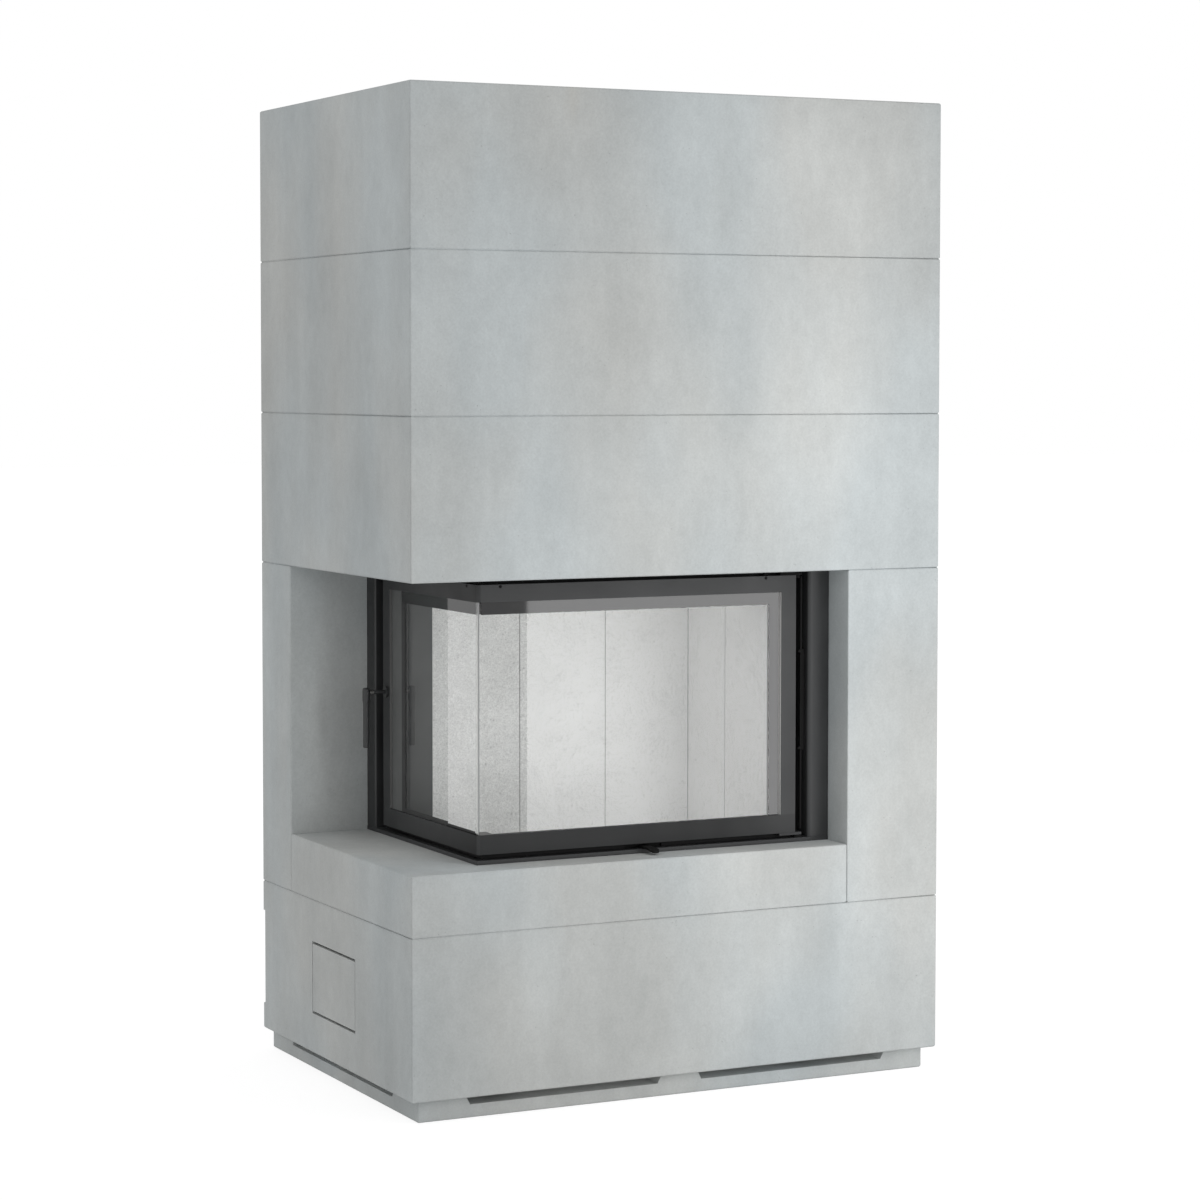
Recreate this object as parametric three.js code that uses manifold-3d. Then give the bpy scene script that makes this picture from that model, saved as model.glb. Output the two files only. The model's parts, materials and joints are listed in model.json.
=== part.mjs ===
// A corner fireplace kit: cast stone elements stacked round a steel insert with a glazed corner door.
// Millimetres. X runs right along the front, Y runs back, Z runs up, and the origin is the middle of the
// footprint on the floor.

import * as THREE from 'three';
import { mergeVertices } from 'three/addons/utils/BufferGeometryUtils.js';
import Module from 'manifold-3d';

const wasm = await Module();
wasm.setup();

// Stone body
const bodyWidth = 1121;
const bodyDepth = 754;
const plinthHeight = 42;
const plinthInset = 20.5;
const courseHeight = 300;
const sillHeight = 113.5;
const openingHeight = 530;
const wall = 60;
const returnWidth = 120;
const chamfer = 2.5;
const rightPostWidth = 205;
const leftPostDepth = 157;
const frontShelf = 72;
const leftShelf = 163;
const bearing = 20;

// Air slots in the plinth
const slotHeight = 17.5;
const slotSlant = 9;
const slotRib = 76;
const slotMarginLeft = 95.5;
const slotMarginRight = 85.5;
const sideSlotSetback = 109.5;
const sideSlotLength = 520;

// Inspection hatch and the notch in the base element's rear edge
const hatchSetback = 268;
const hatchWidth = 218;
const hatchRise = 77.5;
const hatchHeight = 141.5;
const hatchLedge = 15;
const hatchFaceThickness = 25;
const hatchPlugLength = 15;
const hatchSideGap = 2;
const hatchLevelGap = 5;
const notchRise = 51;
const notchHeight = 189;
const notchDepth = 11;

// Top plate
const plateThickness = 20;
const plateLedge = 25;
const plateRecess = 2;
const plateHoleRadius = 125;
const outletLength = 600;
const outletWidth = 30;
const outletMargin = 70;

// Tie that carries the lintel over the open corner
const tieThickness = 5;
const tieHeight = 80;

// Fits and cuts
const clearance = 0.3;
const expansionGap = 1;
const overrun = 3;

// Insert: tray below, head frame above
const trayThickness = 8;
const trayProud = 1;
const headThickness = 4;
const headSetback = 4;
const headroom = 1.75;
const convectionMargin = 15;

// Door
const doorSetback = 2;
const doorThickness = 14;
const doorGapBelow = 10.25;
const doorHeight = 500;
const doorBottomRail = 36.25;
const doorTopRail = 32.25;
const doorStile = 33;
const doorCornerRadius = 8;
const hingeSideWidth = 72;
const latchSideDepth = 77;
const glassThickness = 4;
const glassLip = 5;
const glassPocket = 10;
const beadThickness = 4;
const gasketInset = 3;
const gasketWidth = 6;
const gasketGroove = 4;
const bufferLength = 10;
const bufferDepth = 8;
const bufferHeight = 3.5;
const bufferSetback = 6;
const bufferFromCorner = 9;
const bufferFromRight = 142;
const bufferAlongSide = 112;

// Door hinge
const hingeBeyondDoor = 8;
const hingeSetback = 10;
const pinRadius = 4;
const pinLength = 12;
const leafThickness = 5;
const leafOverlap = 34;
const leafBeyondPin = 7;
const leafDepth = 12;
const bushRadius = 8;
const guardRise = 158.25;
const guardHeight = 196;
const guardWidth = 5;
const guardDepth = 6;

// Face frame that the door closes on
const faceSetback = 18;
const faceThickness = 4;
const faceLapRight = 3;
const faceLapRear = 19;
const faceStileRight = 56;
const faceStileRear = 98;
const faceSill = 41.5;
const faceHead = 61.75;

// Trims beside the door
const trimWidthRight = 45;
const trimWidthLeft = 40;
const trimRadiusRight = 8;
const trimRadiusLeft = 4;
const trimSheet = 3;
const trimDepth = 58;
const hingePocketWidth = 22;

// Firebox casing, corner post and lining
const casingSetback = 25;
const casingInsetRight = 70;
const casingInsetRear = 111;
const casingWall = 5;
const casingLip = 5;
const hoodRise = 96.5;
const floorDrop = 15;
const panelThickness = 30;
const panelGap = 1;
const backPanelGap = 2;
const liningRise = 9;
const rightPanelFrontShare = 0.51;
const cornerPostWidth = 47;
const cornerPostSheet = 4;
const baffleThickness = 20;
const throatDepth = 90;
const flueRadius = 95;
const flueWall = 5;
const flueFlange = 30;
const flueHeight = 60;
const fluePlateThickness = 4;
const flueShiftBack = 9;

// Convection mantle round the casing
const mantleSheet = 2;
const mantleRearInset = 14;
const mantleRightInset = 10;
const mantleLeftInset = 62;
const mantleFrontInset = 64;
const mantleLeftDepth = 90;

// Grate, ash pan, air box and fresh-air spigot
const grateSize = 190;
const grateLedge = 11;
const grateThickness = 12;
const grateBar = 10;
const grateBars = 10;
const grateRim = 15;
const airBoxHeight = 110;
const airBoxSheet = 3;
const ashPanInset = 10;
const ashPanHeight = 40;
const ashPanSheet = 2;
const spigotRadius = 50;
const spigotWall = 3;
const spigotLength = 75;

// Air register and its lever
const registerLength = 400;
const registerHeight = 26;
const registerShiftLeft = 21;
const registerSlots = 4;
const registerSlotLength = 50;
const registerSlotHeight = 10;
const registerSlotPitch = 85;
const registerSlotRise = 11;
const leverTravel = 30;
const leverWidth = 18;
const leverThickness = 4;
const leverLift = 1;
const leverReach = 34;
const leverStart = 4;
const leverBend = 120;

// Handle and latch
const handleRise = 265.25;
const handleInset = 17;
const handleReach = 43.5;
const hubRadius = 7.25;
const hubCrownRadius = 3.5;
const hubAbove = 9.5;
const hubBelow = 21.5;
const hubCrown = 5;
const hubTaper = 7;
const gripLength = 87;
const gripRadius = 6;
const gripChamfer = 1;
const neckRadius = 5;
const neckEndRadius = 4;
const neckLength = 8;
const spindleRadius = 3.5;
const rosetteRadius = 11;
const rosetteThickness = 4;
const camRadius = 6;
const camLength = 19;
const camThickness = 5;
const camMargin = 5;
const camSweep = 22;

// Stand and levelling feet
const standPlate = 5;
const standRail = 30;
const legFlange = 40;
const legSheet = 4;
const footPlateRise = 30;
const footPadRadius = 22;
const footPadHeight = 6;
const footStemRadius = 7;

// Facets of round pieces, and the steps in a millimetre to which every vertex is rounded, so that faces
// that meet lie in one plane
const roundSides = 32;
const smallRoundSides = 14;
const cornerSteps = 5;
const stepsPerMillimetre = 256;

// Edges and levels that follow from the sizes above
const left = -bodyWidth / 2;
const right = bodyWidth / 2;
const front = -bodyDepth / 2;
const rear = bodyDepth / 2;

const sillBottom = plinthHeight + courseHeight;
const sillTop = sillBottom + sillHeight;
const lintelBottom = sillTop + openingHeight;
const middleBottom = lintelBottom + courseHeight;
const topBottom = middleBottom + courseHeight;
const bodyTop = topBottom + courseHeight;

const insertLeft = left + leftShelf;
const insertRight = right - rightPostWidth - expansionGap;
const insertFront = front + frontShelf;
const insertRear = rear - leftPostDepth - expansionGap;
const trayTop = sillTop + trayThickness;
const headTop = lintelBottom - headroom;
const headBottom = headTop - headThickness;

const doorRight = insertRight - hingeSideWidth;
const doorRear = insertRear - latchSideDepth;
const doorBottom = trayTop + doorGapBelow;
const doorTop = doorBottom + doorHeight;
const hingeX = doorRight + hingeBeyondDoor;
const hingeY = insertFront + hingeSetback;

const casingLeft = insertLeft + casingSetback;
const casingFront = insertFront + casingSetback;
const casingRight = insertRight - casingInsetRight;
const casingRear = insertRear - casingInsetRear;
const floorTop = sillTop - floorDrop;
const casingFloor = floorTop - panelThickness;
const casingBottom = casingFloor - casingWall;
const casingTop = lintelBottom + hoodRise;
const liningFront = casingFront + casingWall + clearance;
const liningLeft = casingLeft + casingWall + clearance;
const liningRight = casingRight - casingWall - clearance;
const liningRear = casingRear - casingWall - clearance;

const faceRight = doorRight + faceLapRight;
const faceRear = doorRear + faceLapRear;
const faceOpenRight = faceRight - faceStileRight;
const faceOpenRear = faceRear - faceStileRear;
const faceOpenBottom = sillTop + faceSill;
const faceOpenTop = headBottom - faceHead;
const liningTop = faceOpenTop + liningRise;

const mantleRear = insertRear - mantleRearInset;
const mantleRight = insertRight - mantleRightInset;
const mantleLeft = insertLeft + mantleLeftInset;

const flueX = (casingLeft + casingRight) / 2;
const flueY = (casingFront + casingRear) / 2 + flueShiftBack;
const grateX = flueX;
const grateY = (casingFront + casingRear) / 2 - panelThickness / 2;
const registerX = (insertLeft + insertRight) / 2 - registerShiftLeft;
const handleY = doorRear - handleInset;
const handleZ = doorBottom + handleRise;
const hubX = insertLeft + doorSetback - handleReach;
const camFront = insertLeft + faceSetback + faceThickness + clearance;

// Finishes
const finishes = {
  castStone: { color: 0xb3b7b6, roughness: 0.88, metalness: 0 },
  blackSteel: { color: 0x333434, roughness: 0.55, metalness: 0.4 },
  casingSteel: { color: 0x3c3d3e, roughness: 0.6, metalness: 0.5 },
  galvanised: { color: 0x9a9d9f, roughness: 0.45, metalness: 0.9 },
  brightSteel: { color: 0xa8a8a6, roughness: 0.3, metalness: 1 },
  castIron: { color: 0x2c2b2a, roughness: 0.8, metalness: 0.5 },
  lining: { color: 0xd6d4cf, roughness: 0.95, metalness: 0 },
  glass: { color: 0xdfe8e6, roughness: 0.03, metalness: 0, transparent: true, opacity: 0.25 },
  gasket: { color: 0x4a4a48, roughness: 1, metalness: 0 },
};

// Solids

function onGrid(value) {
  return Math.round(value * stepsPerMillimetre) / stepsPerMillimetre;
}

// Turns a closed geometry into a solid: vertices on the grid, shared ones merged, flat triangles left out.
function solidFrom(geometry) {
  geometry.deleteAttribute('normal');
  geometry.deleteAttribute('uv');
  const places = geometry.attributes.position;
  places.array.forEach((value, index) => {
    places.array[index] = onGrid(value);
  });
  const merged = mergeVertices(geometry);
  const corners = merged.index.array;
  const kept = [];
  for (let first = 0; first < corners.length; first += 3) {
    const [a, b, c] = corners.slice(first, first + 3);
    if (a !== b && b !== c && c !== a) {
      kept.push(a, b, c);
    }
  }
  const vertProperties = merged.attributes.position.array;
  const triVerts = Uint32Array.from(kept);
  return new wasm.Manifold(new wasm.Mesh({ numProp: 3, vertProperties, triVerts }));
}

// A box between two corners, each axis given as its low and high end.
function block(x, y, z) {
  const geometry = new THREE.BoxGeometry(x[1] - x[0], y[1] - y[0], z[1] - z[0]);
  geometry.translate((x[0] + x[1]) / 2, (y[0] + y[1]) / 2, (z[0] + z[1]) / 2);
  return solidFrom(geometry);
}

// A plan outline raised between two levels.
function prism(shape, z, sides = roundSides) {
  const options = { depth: z[1] - z[0], bevelEnabled: false, curveSegments: sides / 2 };
  const geometry = new THREE.ExtrudeGeometry(shape, options);
  geometry.translate(0, 0, z[0]);
  return solidFrom(geometry);
}

// A side outline, drawn in Y and Z, carried along X.
function sidePrism(shape, x, sides = roundSides) {
  const options = { depth: x[1] - x[0], bevelEnabled: false, curveSegments: sides / 2 };
  const geometry = new THREE.ExtrudeGeometry(shape, options);
  const alongY = new THREE.Vector3(0, 1, 0);
  const alongZ = new THREE.Vector3(0, 0, 1);
  const alongX = new THREE.Vector3(1, 0, 0);
  geometry.applyMatrix4(new THREE.Matrix4().makeBasis(alongY, alongZ, alongX));
  geometry.translate(x[0], 0, 0);
  return solidFrom(geometry);
}

// A turned piece on the Z axis; the profile runs up its outside, as radius and height pairs.
function turned(profile, sides) {
  const points = profile.map(([radius, height]) => new THREE.Vector2(radius, height));
  const geometry = new THREE.LatheGeometry(points, sides);
  geometry.rotateX(Math.PI / 2);
  return solidFrom(geometry);
}

function rod(radius, length, sides = smallRoundSides) {
  return turned([[0, 0], [radius, 0], [radius, length], [0, length]], sides);
}

function tube(outerRadius, innerRadius, length, sides = smallRoundSides) {
  const profile = [[innerRadius, 0], [outerRadius, 0], [outerRadius, length], [innerRadius, length]];
  return turned([...profile, profile[0]], sides);
}

function outline(points) {
  return new THREE.Shape(points.map(([x, y]) => new THREE.Vector2(x, y)));
}

// Takes a chamfer off every outward corner of a plan outline that runs anticlockwise.
function cutCorners(points) {
  const corners = points.map(([x, y]) => new THREE.Vector2(x, y));
  return corners.flatMap((corner, index) => {
    const before = corners[(index + corners.length - 1) % corners.length];
    const after = corners[(index + 1) % corners.length];
    const back = before.clone().sub(corner).normalize();
    const ahead = after.clone().sub(corner).normalize();
    if (ahead.cross(back) <= 0) {
      return [corner];
    }
    return [back, ahead].map((way) => corner.clone().addScaledVector(way, chamfer));
  });
}

// A cast element: a plan outline raised between two levels, with every edge chamfered.
function castElement(points, z) {
  const geometry = new THREE.ExtrudeGeometry(new THREE.Shape(cutCorners(points)), {
    depth: z[1] - z[0] - 2 * chamfer,
    bevelEnabled: true,
    bevelThickness: chamfer,
    bevelSize: chamfer,
    bevelOffset: -chamfer,
    bevelSegments: 1,
  });
  geometry.translate(0, 0, z[0] + chamfer);
  return solidFrom(geometry);
}

// An L in plan that runs along the insert's front and left side, between two depths behind its faces.
function elbow(outer, inner, xEnd, yEnd, z, radius = 0) {
  const x = [insertLeft + outer, insertLeft + inner];
  const y = [insertFront + outer, insertFront + inner];
  const shape = new THREE.Shape();
  shape.moveTo(xEnd, y[0]);
  shape.lineTo(xEnd, y[1]);
  shape.lineTo(x[1], y[1]);
  shape.lineTo(x[1], yEnd);
  shape.lineTo(x[0], yEnd);
  if (radius > 0) {
    shape.absarc(x[0] + radius, y[0] + radius, radius, Math.PI, 1.5 * Math.PI, false);
  } else {
    shape.lineTo(x[0], y[0]);
  }
  return prism(shape, z, 2 * cornerSteps);
}

// An elbow with one window that runs round the corner.
function cornerFrame(depths, ends, z, windowEnds, windowZ, radius = 0) {
  const body = elbow(depths[0], depths[1], ends[0], ends[1], z, radius);
  const window = elbow(depths[0] - overrun, depths[1] + overrun, windowEnds[0], windowEnds[1], windowZ);
  return body.subtract(window);
}

// Scene

const kit = new THREE.Group();

function subassembly() {
  const group = new THREE.Group();
  kit.add(group);
  return group;
}

const stonework = subassembly();
const insert = subassembly();
const lining = subassembly();
const door = subassembly();
const handle = subassembly();
const airControl = subassembly();

// Adds a solid as a named mesh that turns about the middle of its own box.
function addPiece(group, name, solid, finish) {
  const mesh = solid.getMesh();
  const geometry = new THREE.BufferGeometry();
  geometry.setAttribute('position', new THREE.BufferAttribute(mesh.vertProperties, mesh.numProp));
  geometry.setIndex(new THREE.BufferAttribute(mesh.triVerts, 1));
  geometry.computeBoundingBox();
  const middle = geometry.boundingBox.getCenter(new THREE.Vector3());
  middle.set(onGrid(middle.x), onGrid(middle.y), onGrid(middle.z));
  geometry.translate(-middle.x, -middle.y, -middle.z);
  geometry.computeVertexNormals();
  const piece = new THREE.Mesh(geometry, new THREE.MeshStandardMaterial(finishes[finish]));
  piece.name = name;
  piece.position.copy(middle);
  group.add(piece);
}

// Stonework

// A U in plan, open at the back, with short returns behind the side walls.
function courseOutline(inset) {
  const x = [left + inset, right - inset];
  const y = front + inset;
  return [
    [x[0], y],
    [x[1], y],
    [x[1], rear],
    [x[1] - returnWidth, rear],
    [x[1] - returnWidth, rear - wall],
    [x[1] - wall, rear - wall],
    [x[1] - wall, y + wall],
    [x[0] + wall, y + wall],
    [x[0] + wall, rear - wall],
    [x[0] + returnWidth, rear - wall],
    [x[0] + returnWidth, rear],
    [x[0], rear],
  ];
}

function course(z) {
  return castElement(courseOutline(0), z);
}

// A slot cut into the plinth's top edge from a wall's outside, with slanted ends. The slot runs along X.
function slotCut(start, end, yWall) {
  const z = [plinthHeight - slotHeight, plinthHeight + overrun];
  const slope = slotSlant / slotHeight;
  const spread = slope * (z[1] - z[0]);
  const bottom = [start + slotSlant, end - slotSlant];
  const shape = outline([
    [bottom[0], z[0]],
    [bottom[1], z[0]],
    [bottom[1] + spread, z[1]],
    [bottom[0] - spread, z[1]],
  ]);
  const depth = wall + 2 * overrun;
  const geometry = new THREE.ExtrudeGeometry(shape, { depth, bevelEnabled: false });
  geometry.rotateX(Math.PI / 2);
  geometry.translate(0, yWall + wall + overrun, 0);
  return geometry;
}

function plinth() {
  const x = [left + plinthInset, right - plinthInset];
  const y = front + plinthInset;
  const middle = (x[0] + x[1]) / 2;
  const frontCuts = [
    slotCut(x[0] + slotMarginLeft, middle - slotRib / 2, y),
    slotCut(middle + slotRib / 2, x[1] - slotMarginRight, y),
  ];
  const sideCuts = [-1, 1].map((side) => {
    const start = y + sideSlotSetback;
    const cut = slotCut(start, start + sideSlotLength, -wall / 2);
    cut.rotateZ(Math.PI / 2);
    cut.translate(side < 0 ? x[0] + wall / 2 : x[1] - wall / 2, 0, 0);
    return cut;
  });
  const body = castElement(courseOutline(plinthInset), [0, plinthHeight]);
  return [...frontCuts, ...sideCuts].reduce((solid, cut) => solid.subtract(solidFrom(cut)), body);
}

const hatchY = [front + hatchSetback, front + hatchSetback + hatchWidth];
const hatchZ = [plinthHeight + hatchRise, plinthHeight + hatchRise + hatchHeight];

function shrunk(range, by) {
  return [range[0] + by, range[1] - by];
}

function baseElement() {
  const notchZ = plinthHeight + notchRise;
  const rebate = block([left - overrun, left + hatchFaceThickness + clearance], hatchY, hatchZ);
  const openingX = [left - overrun, left + wall + overrun];
  const opening = block(openingX, shrunk(hatchY, hatchLedge), shrunk(hatchZ, hatchLedge));
  const notchX = [left - overrun, left + returnWidth + overrun];
  const notch = block(notchX, [rear - notchDepth, rear + overrun], [notchZ, notchZ + notchHeight]);
  return course([plinthHeight, sillBottom]).subtract(rebate).subtract(opening).subtract(notch);
}

function hatchCover() {
  const face = block(
    [left, left + hatchFaceThickness],
    shrunk(hatchY, hatchSideGap),
    shrunk(hatchZ, hatchLevelGap),
  );
  const plugX = [left + hatchFaceThickness - overrun, left + hatchFaceThickness + hatchPlugLength];
  const plugFit = hatchLedge + clearance;
  return face.add(block(plugX, shrunk(hatchY, plugFit), shrunk(hatchZ, plugFit)));
}

function sillElement() {
  const x = [left, right - rightPostWidth, left + leftShelf + bearing];
  const y = [front, rear - leftPostDepth, front + frontShelf + bearing];
  return castElement(
    [[x[0], y[0]], [x[1], y[0]], [x[1], y[2]], [x[2], y[2]], [x[2], y[1]], [x[0], y[1]]],
    [sillBottom, sillTop],
  );
}

function rightPost() {
  const x = [right - rightPostWidth, right - returnWidth, right - wall, right];
  const y = [front, front + frontShelf + bearing, rear - wall, rear];
  return castElement(
    [
      [x[0], y[0]],
      [x[3], y[0]],
      [x[3], y[3]],
      [x[1], y[3]],
      [x[1], y[2]],
      [x[2], y[2]],
      [x[2], y[1]],
      [x[0], y[1]],
    ],
    [sillBottom, lintelBottom],
  );
}

function leftPost() {
  const x = [left, left + returnWidth, left + leftShelf + bearing];
  const y = [rear - leftPostDepth, rear - leftPostDepth + wall, rear];
  return castElement(
    [[x[0], y[0]], [x[2], y[0]], [x[2], y[1]], [x[1], y[1]], [x[1], y[2]], [x[0], y[2]]],
    [sillBottom, lintelBottom],
  );
}

// Where the top plate lies: on a ledge inside the top element's walls.
const plateEdge = wall - plateLedge;
const plateX = [left + plateEdge, right - plateEdge];
const plateY = [front + plateEdge, rear - plateEdge];
const plateBottom = bodyTop - plateRecess - plateThickness;

function topElement() {
  const rebate = block(plateX, plateY, [plateBottom, bodyTop + overrun]);
  return course([topBottom, bodyTop]).subtract(rebate);
}

function outletY() {
  const y = [front + wall + outletMargin, rear - wall - outletMargin];
  return [[y[0], y[0] + outletWidth], [y[1] - outletWidth, y[1]]];
}

function topPlate() {
  const z = [plateBottom, plateBottom + plateThickness];
  const cutZ = [z[0] - overrun, z[1] + overrun];
  const plate = block(shrunk(plateX, clearance), shrunk(plateY, clearance), z);
  const hole = rod(plateHoleRadius, cutZ[1] - cutZ[0], roundSides).translate(flueX, flueY, cutZ[0]);
  const outlets = outletY().map((y) => block([-outletLength / 2, outletLength / 2], y, cutZ));
  return outlets.reduce((solid, cut) => solid.subtract(cut), plate.subtract(hole));
}

function lintelTie() {
  const x = [left + wall, right - wall];
  const y = [front + wall, rear - wall];
  const bar = outline([
    [x[0], y[0]],
    [x[1], y[0]],
    [x[1], y[0] + tieThickness],
    [x[0] + tieThickness, y[0] + tieThickness],
    [x[0] + tieThickness, y[1]],
    [x[0], y[1]],
  ]);
  return prism(bar, [lintelBottom, lintelBottom + tieHeight]);
}

addPiece(stonework, 'plinth', plinth(), 'castStone');
addPiece(stonework, 'base_element', baseElement(), 'castStone');
addPiece(stonework, 'hatch_cover', hatchCover(), 'castStone');
addPiece(stonework, 'sill_element', sillElement(), 'castStone');
addPiece(stonework, 'right_post', rightPost(), 'castStone');
addPiece(stonework, 'left_post', leftPost(), 'castStone');
addPiece(stonework, 'lintel_element', course([lintelBottom, middleBottom]), 'castStone');
addPiece(stonework, 'middle_element', course([middleBottom, topBottom]), 'castStone');
addPiece(stonework, 'top_element', topElement(), 'castStone');
addPiece(stonework, 'top_plate', topPlate(), 'castStone');
addPiece(stonework, 'lintel_tie', lintelTie(), 'galvanised');

// Insert

// A ring plate round the casing, with a second opening behind it for the convection air.
function ringPlate(setback, z) {
  const cutZ = [z[0] - overrun, z[1] + overrun];
  const plate = block([insertLeft + setback, insertRight], [insertFront + setback, insertRear], z);
  const casing = block(
    [casingLeft - clearance, casingRight + clearance],
    [casingFront - clearance, casingRear + clearance],
    cutZ,
  );
  const vent = block(
    [mantleLeft + mantleSheet + convectionMargin, casingRight - convectionMargin],
    [casingRear + convectionMargin, mantleRear - mantleSheet - convectionMargin],
    cutZ,
  );
  return plate.subtract(casing).subtract(vent);
}

// The slots in the casing's front and in the register behind it, both moved along by the same shift.
function registerSlotCuts(shift, y) {
  const z = trayTop + registerSlotRise;
  const cuts = [];
  for (let index = 0; index < registerSlots; index += 1) {
    const middle = registerX + shift + (index - (registerSlots - 1) / 2) * registerSlotPitch;
    const x = [middle - registerSlotLength / 2, middle + registerSlotLength / 2];
    cuts.push(block(x, y, [z, z + registerSlotHeight]));
  }
  return cuts;
}

function airBoxSpan(middle, inset) {
  const half = grateSize / 2 - grateLedge + airBoxSheet;
  return [middle - half + inset, middle + half - inset];
}

function fireboxCasing() {
  const z = [casingBottom, casingTop];
  const wallX = shrunk([casingLeft, casingRight], casingWall);
  const wallY = shrunk([casingFront, casingRear], casingWall);
  const shell = block([casingLeft, casingRight], [casingFront, casingRear], z);
  const inside = block(wallX, wallY, shrunk(z, casingWall));
  const openZ = [faceOpenBottom - casingLip, faceOpenTop + casingLip];
  const openFront = block(
    [casingLeft - overrun, faceOpenRight + casingLip],
    [casingFront - overrun, wallY[0] + overrun],
    openZ,
  );
  const openLeft = block(
    [casingLeft - overrun, wallX[0] + overrun],
    [casingFront - overrun, faceOpenRear + casingLip],
    openZ,
  );
  const grateHole = block(
    airBoxSpan(grateX, airBoxSheet),
    airBoxSpan(grateY, airBoxSheet),
    [casingBottom - overrun, casingFloor + overrun],
  );
  const flueCut = rod(flueRadius, casingWall + 2 * overrun, roundSides);
  const flue = flueCut.translate(flueX, flueY, casingTop - casingWall - overrun);
  const slots = registerSlotCuts(0, [casingFront - overrun, wallY[0] + overrun]);
  const cuts = [inside, openFront, openLeft, grateHole, flue, ...slots];
  return cuts.reduce((solid, cut) => solid.subtract(cut), shell);
}

function faceFrame() {
  const frame = cornerFrame(
    [faceSetback, faceSetback + faceThickness],
    [faceRight, faceRear],
    [trayTop, headBottom],
    [faceOpenRight, faceOpenRear],
    [faceOpenBottom, faceOpenTop],
  );
  const depth = [faceSetback - overrun, faceSetback + faceThickness + overrun];
  const reach = leverWidth / 2 + leverTravel + clearance;
  const leverSlot = block(
    [registerX - reach, registerX + reach],
    depth.map((value) => insertFront + value),
    [trayTop - overrun, trayTop + leverLift + leverThickness + leverLift],
  );
  const latchWindow = block(
    depth.map((value) => insertLeft + value),
    [handleY - camRadius - camSweep, handleY + camLength + camRadius + camMargin],
    [handleZ - camRadius - camMargin, handleZ + camRadius + camMargin],
  );
  return frame.subtract(leverSlot).subtract(latchWindow);
}

// A trim's section: a flat face between two flanges, rounded into the flange beside the door. Depths are
// measured back from the face.
function trimSection(width, radius) {
  const half = width / 2;
  const innerHalf = half - trimSheet;
  const bend = half - radius;
  const shape = new THREE.Shape();
  shape.moveTo(half, -trimDepth);
  shape.absarc(bend, -radius, radius, 0, Math.PI / 2, false);
  shape.lineTo(-half, 0);
  shape.lineTo(-half, -trimDepth);
  shape.lineTo(-innerHalf, -trimDepth);
  shape.lineTo(-innerHalf, -trimSheet);
  shape.absarc(bend, -radius, radius - trimSheet, Math.PI / 2, 0, true);
  shape.lineTo(innerHalf, -trimDepth);
  return shape;
}

function trim(width, radius) {
  return prism(trimSection(width, radius), [trayTop, headBottom], 2 * cornerSteps);
}

// The right trim faces the front; its left flange turns in behind the hinge as the pocket's back.
function rightTrim() {
  const x = insertRight - trimWidthRight;
  const y = insertFront + trimDepth;
  const turn = trim(trimWidthRight, trimRadiusRight).rotate([0, 0, 180]);
  const placed = turn.translate(insertRight - trimWidthRight / 2, insertFront, 0);
  const pocket = block([x - hingePocketWidth, x + trimSheet], [y - trimSheet, y], [trayTop, headBottom]);
  return placed.add(pocket);
}

function leftTrim() {
  const turn = trim(trimWidthLeft, trimRadiusLeft).mirror([1, 0, 0]).rotate([0, 0, 90]);
  return turn.translate(insertLeft, insertRear - trimWidthLeft / 2, 0);
}

function convectionMantle() {
  const x = [mantleLeft, mantleRight];
  const yRight = insertFront + mantleFrontInset;
  const yLeft = mantleRear - mantleLeftDepth;
  const sheet = outline([
    [x[0], mantleRear],
    [x[0], yLeft],
    [x[0] + mantleSheet, yLeft],
    [x[0] + mantleSheet, mantleRear - mantleSheet],
    [x[1] - mantleSheet, mantleRear - mantleSheet],
    [x[1] - mantleSheet, yRight],
    [x[1], yRight],
    [x[1], mantleRear],
  ]);
  return prism(sheet, [trayTop, headBottom]);
}

function cornerPost() {
  const x = [liningLeft, liningLeft + cornerPostWidth];
  const y = [casingRear - casingWall - panelThickness, liningRear];
  const angle = outline([
    [x[0], y[0]],
    [x[1], y[0]],
    [x[1], y[1]],
    [x[1] - cornerPostSheet, y[1]],
    [x[1] - cornerPostSheet, y[0] + cornerPostSheet],
    [x[0], y[0] + cornerPostSheet],
  ]);
  return prism(angle, [casingFloor, liningTop]);
}

function flueCollar() {
  const outer = flueRadius + flueWall;
  const profile = [
    [flueRadius, 0],
    [outer + flueFlange, 0],
    [outer + flueFlange, fluePlateThickness],
    [outer, fluePlateThickness],
    [outer, flueHeight],
    [flueRadius, flueHeight],
    [flueRadius, 0],
  ];
  return turned(profile, roundSides).translate(flueX, flueY, casingTop);
}

// An open box: a floor and four walls of one sheet thickness.
function openBox(x, y, z, sheet) {
  const inside = block(shrunk(x, sheet), shrunk(y, sheet), [z[0] + sheet, z[1] + overrun]);
  return block(x, y, z).subtract(inside);
}

const airBoxBottom = casingBottom - airBoxHeight;
const spigotZ = airBoxBottom + airBoxHeight / 2;

function airBox() {
  const y = airBoxSpan(grateY, 0);
  const box = openBox(airBoxSpan(grateX, 0), y, [airBoxBottom, casingBottom], airBoxSheet);
  const bore = rod(spigotRadius - spigotWall, airBoxSheet + 2 * overrun, roundSides);
  return box.subtract(bore.rotate([-90, 0, 0]).translate(grateX, y[1] - airBoxSheet - overrun, spigotZ));
}

function airSpigot() {
  const pipe = tube(spigotRadius, spigotRadius - spigotWall, spigotLength, roundSides);
  return pipe.rotate([-90, 0, 0]).translate(grateX, airBoxSpan(grateY, 0)[1], spigotZ);
}

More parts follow.
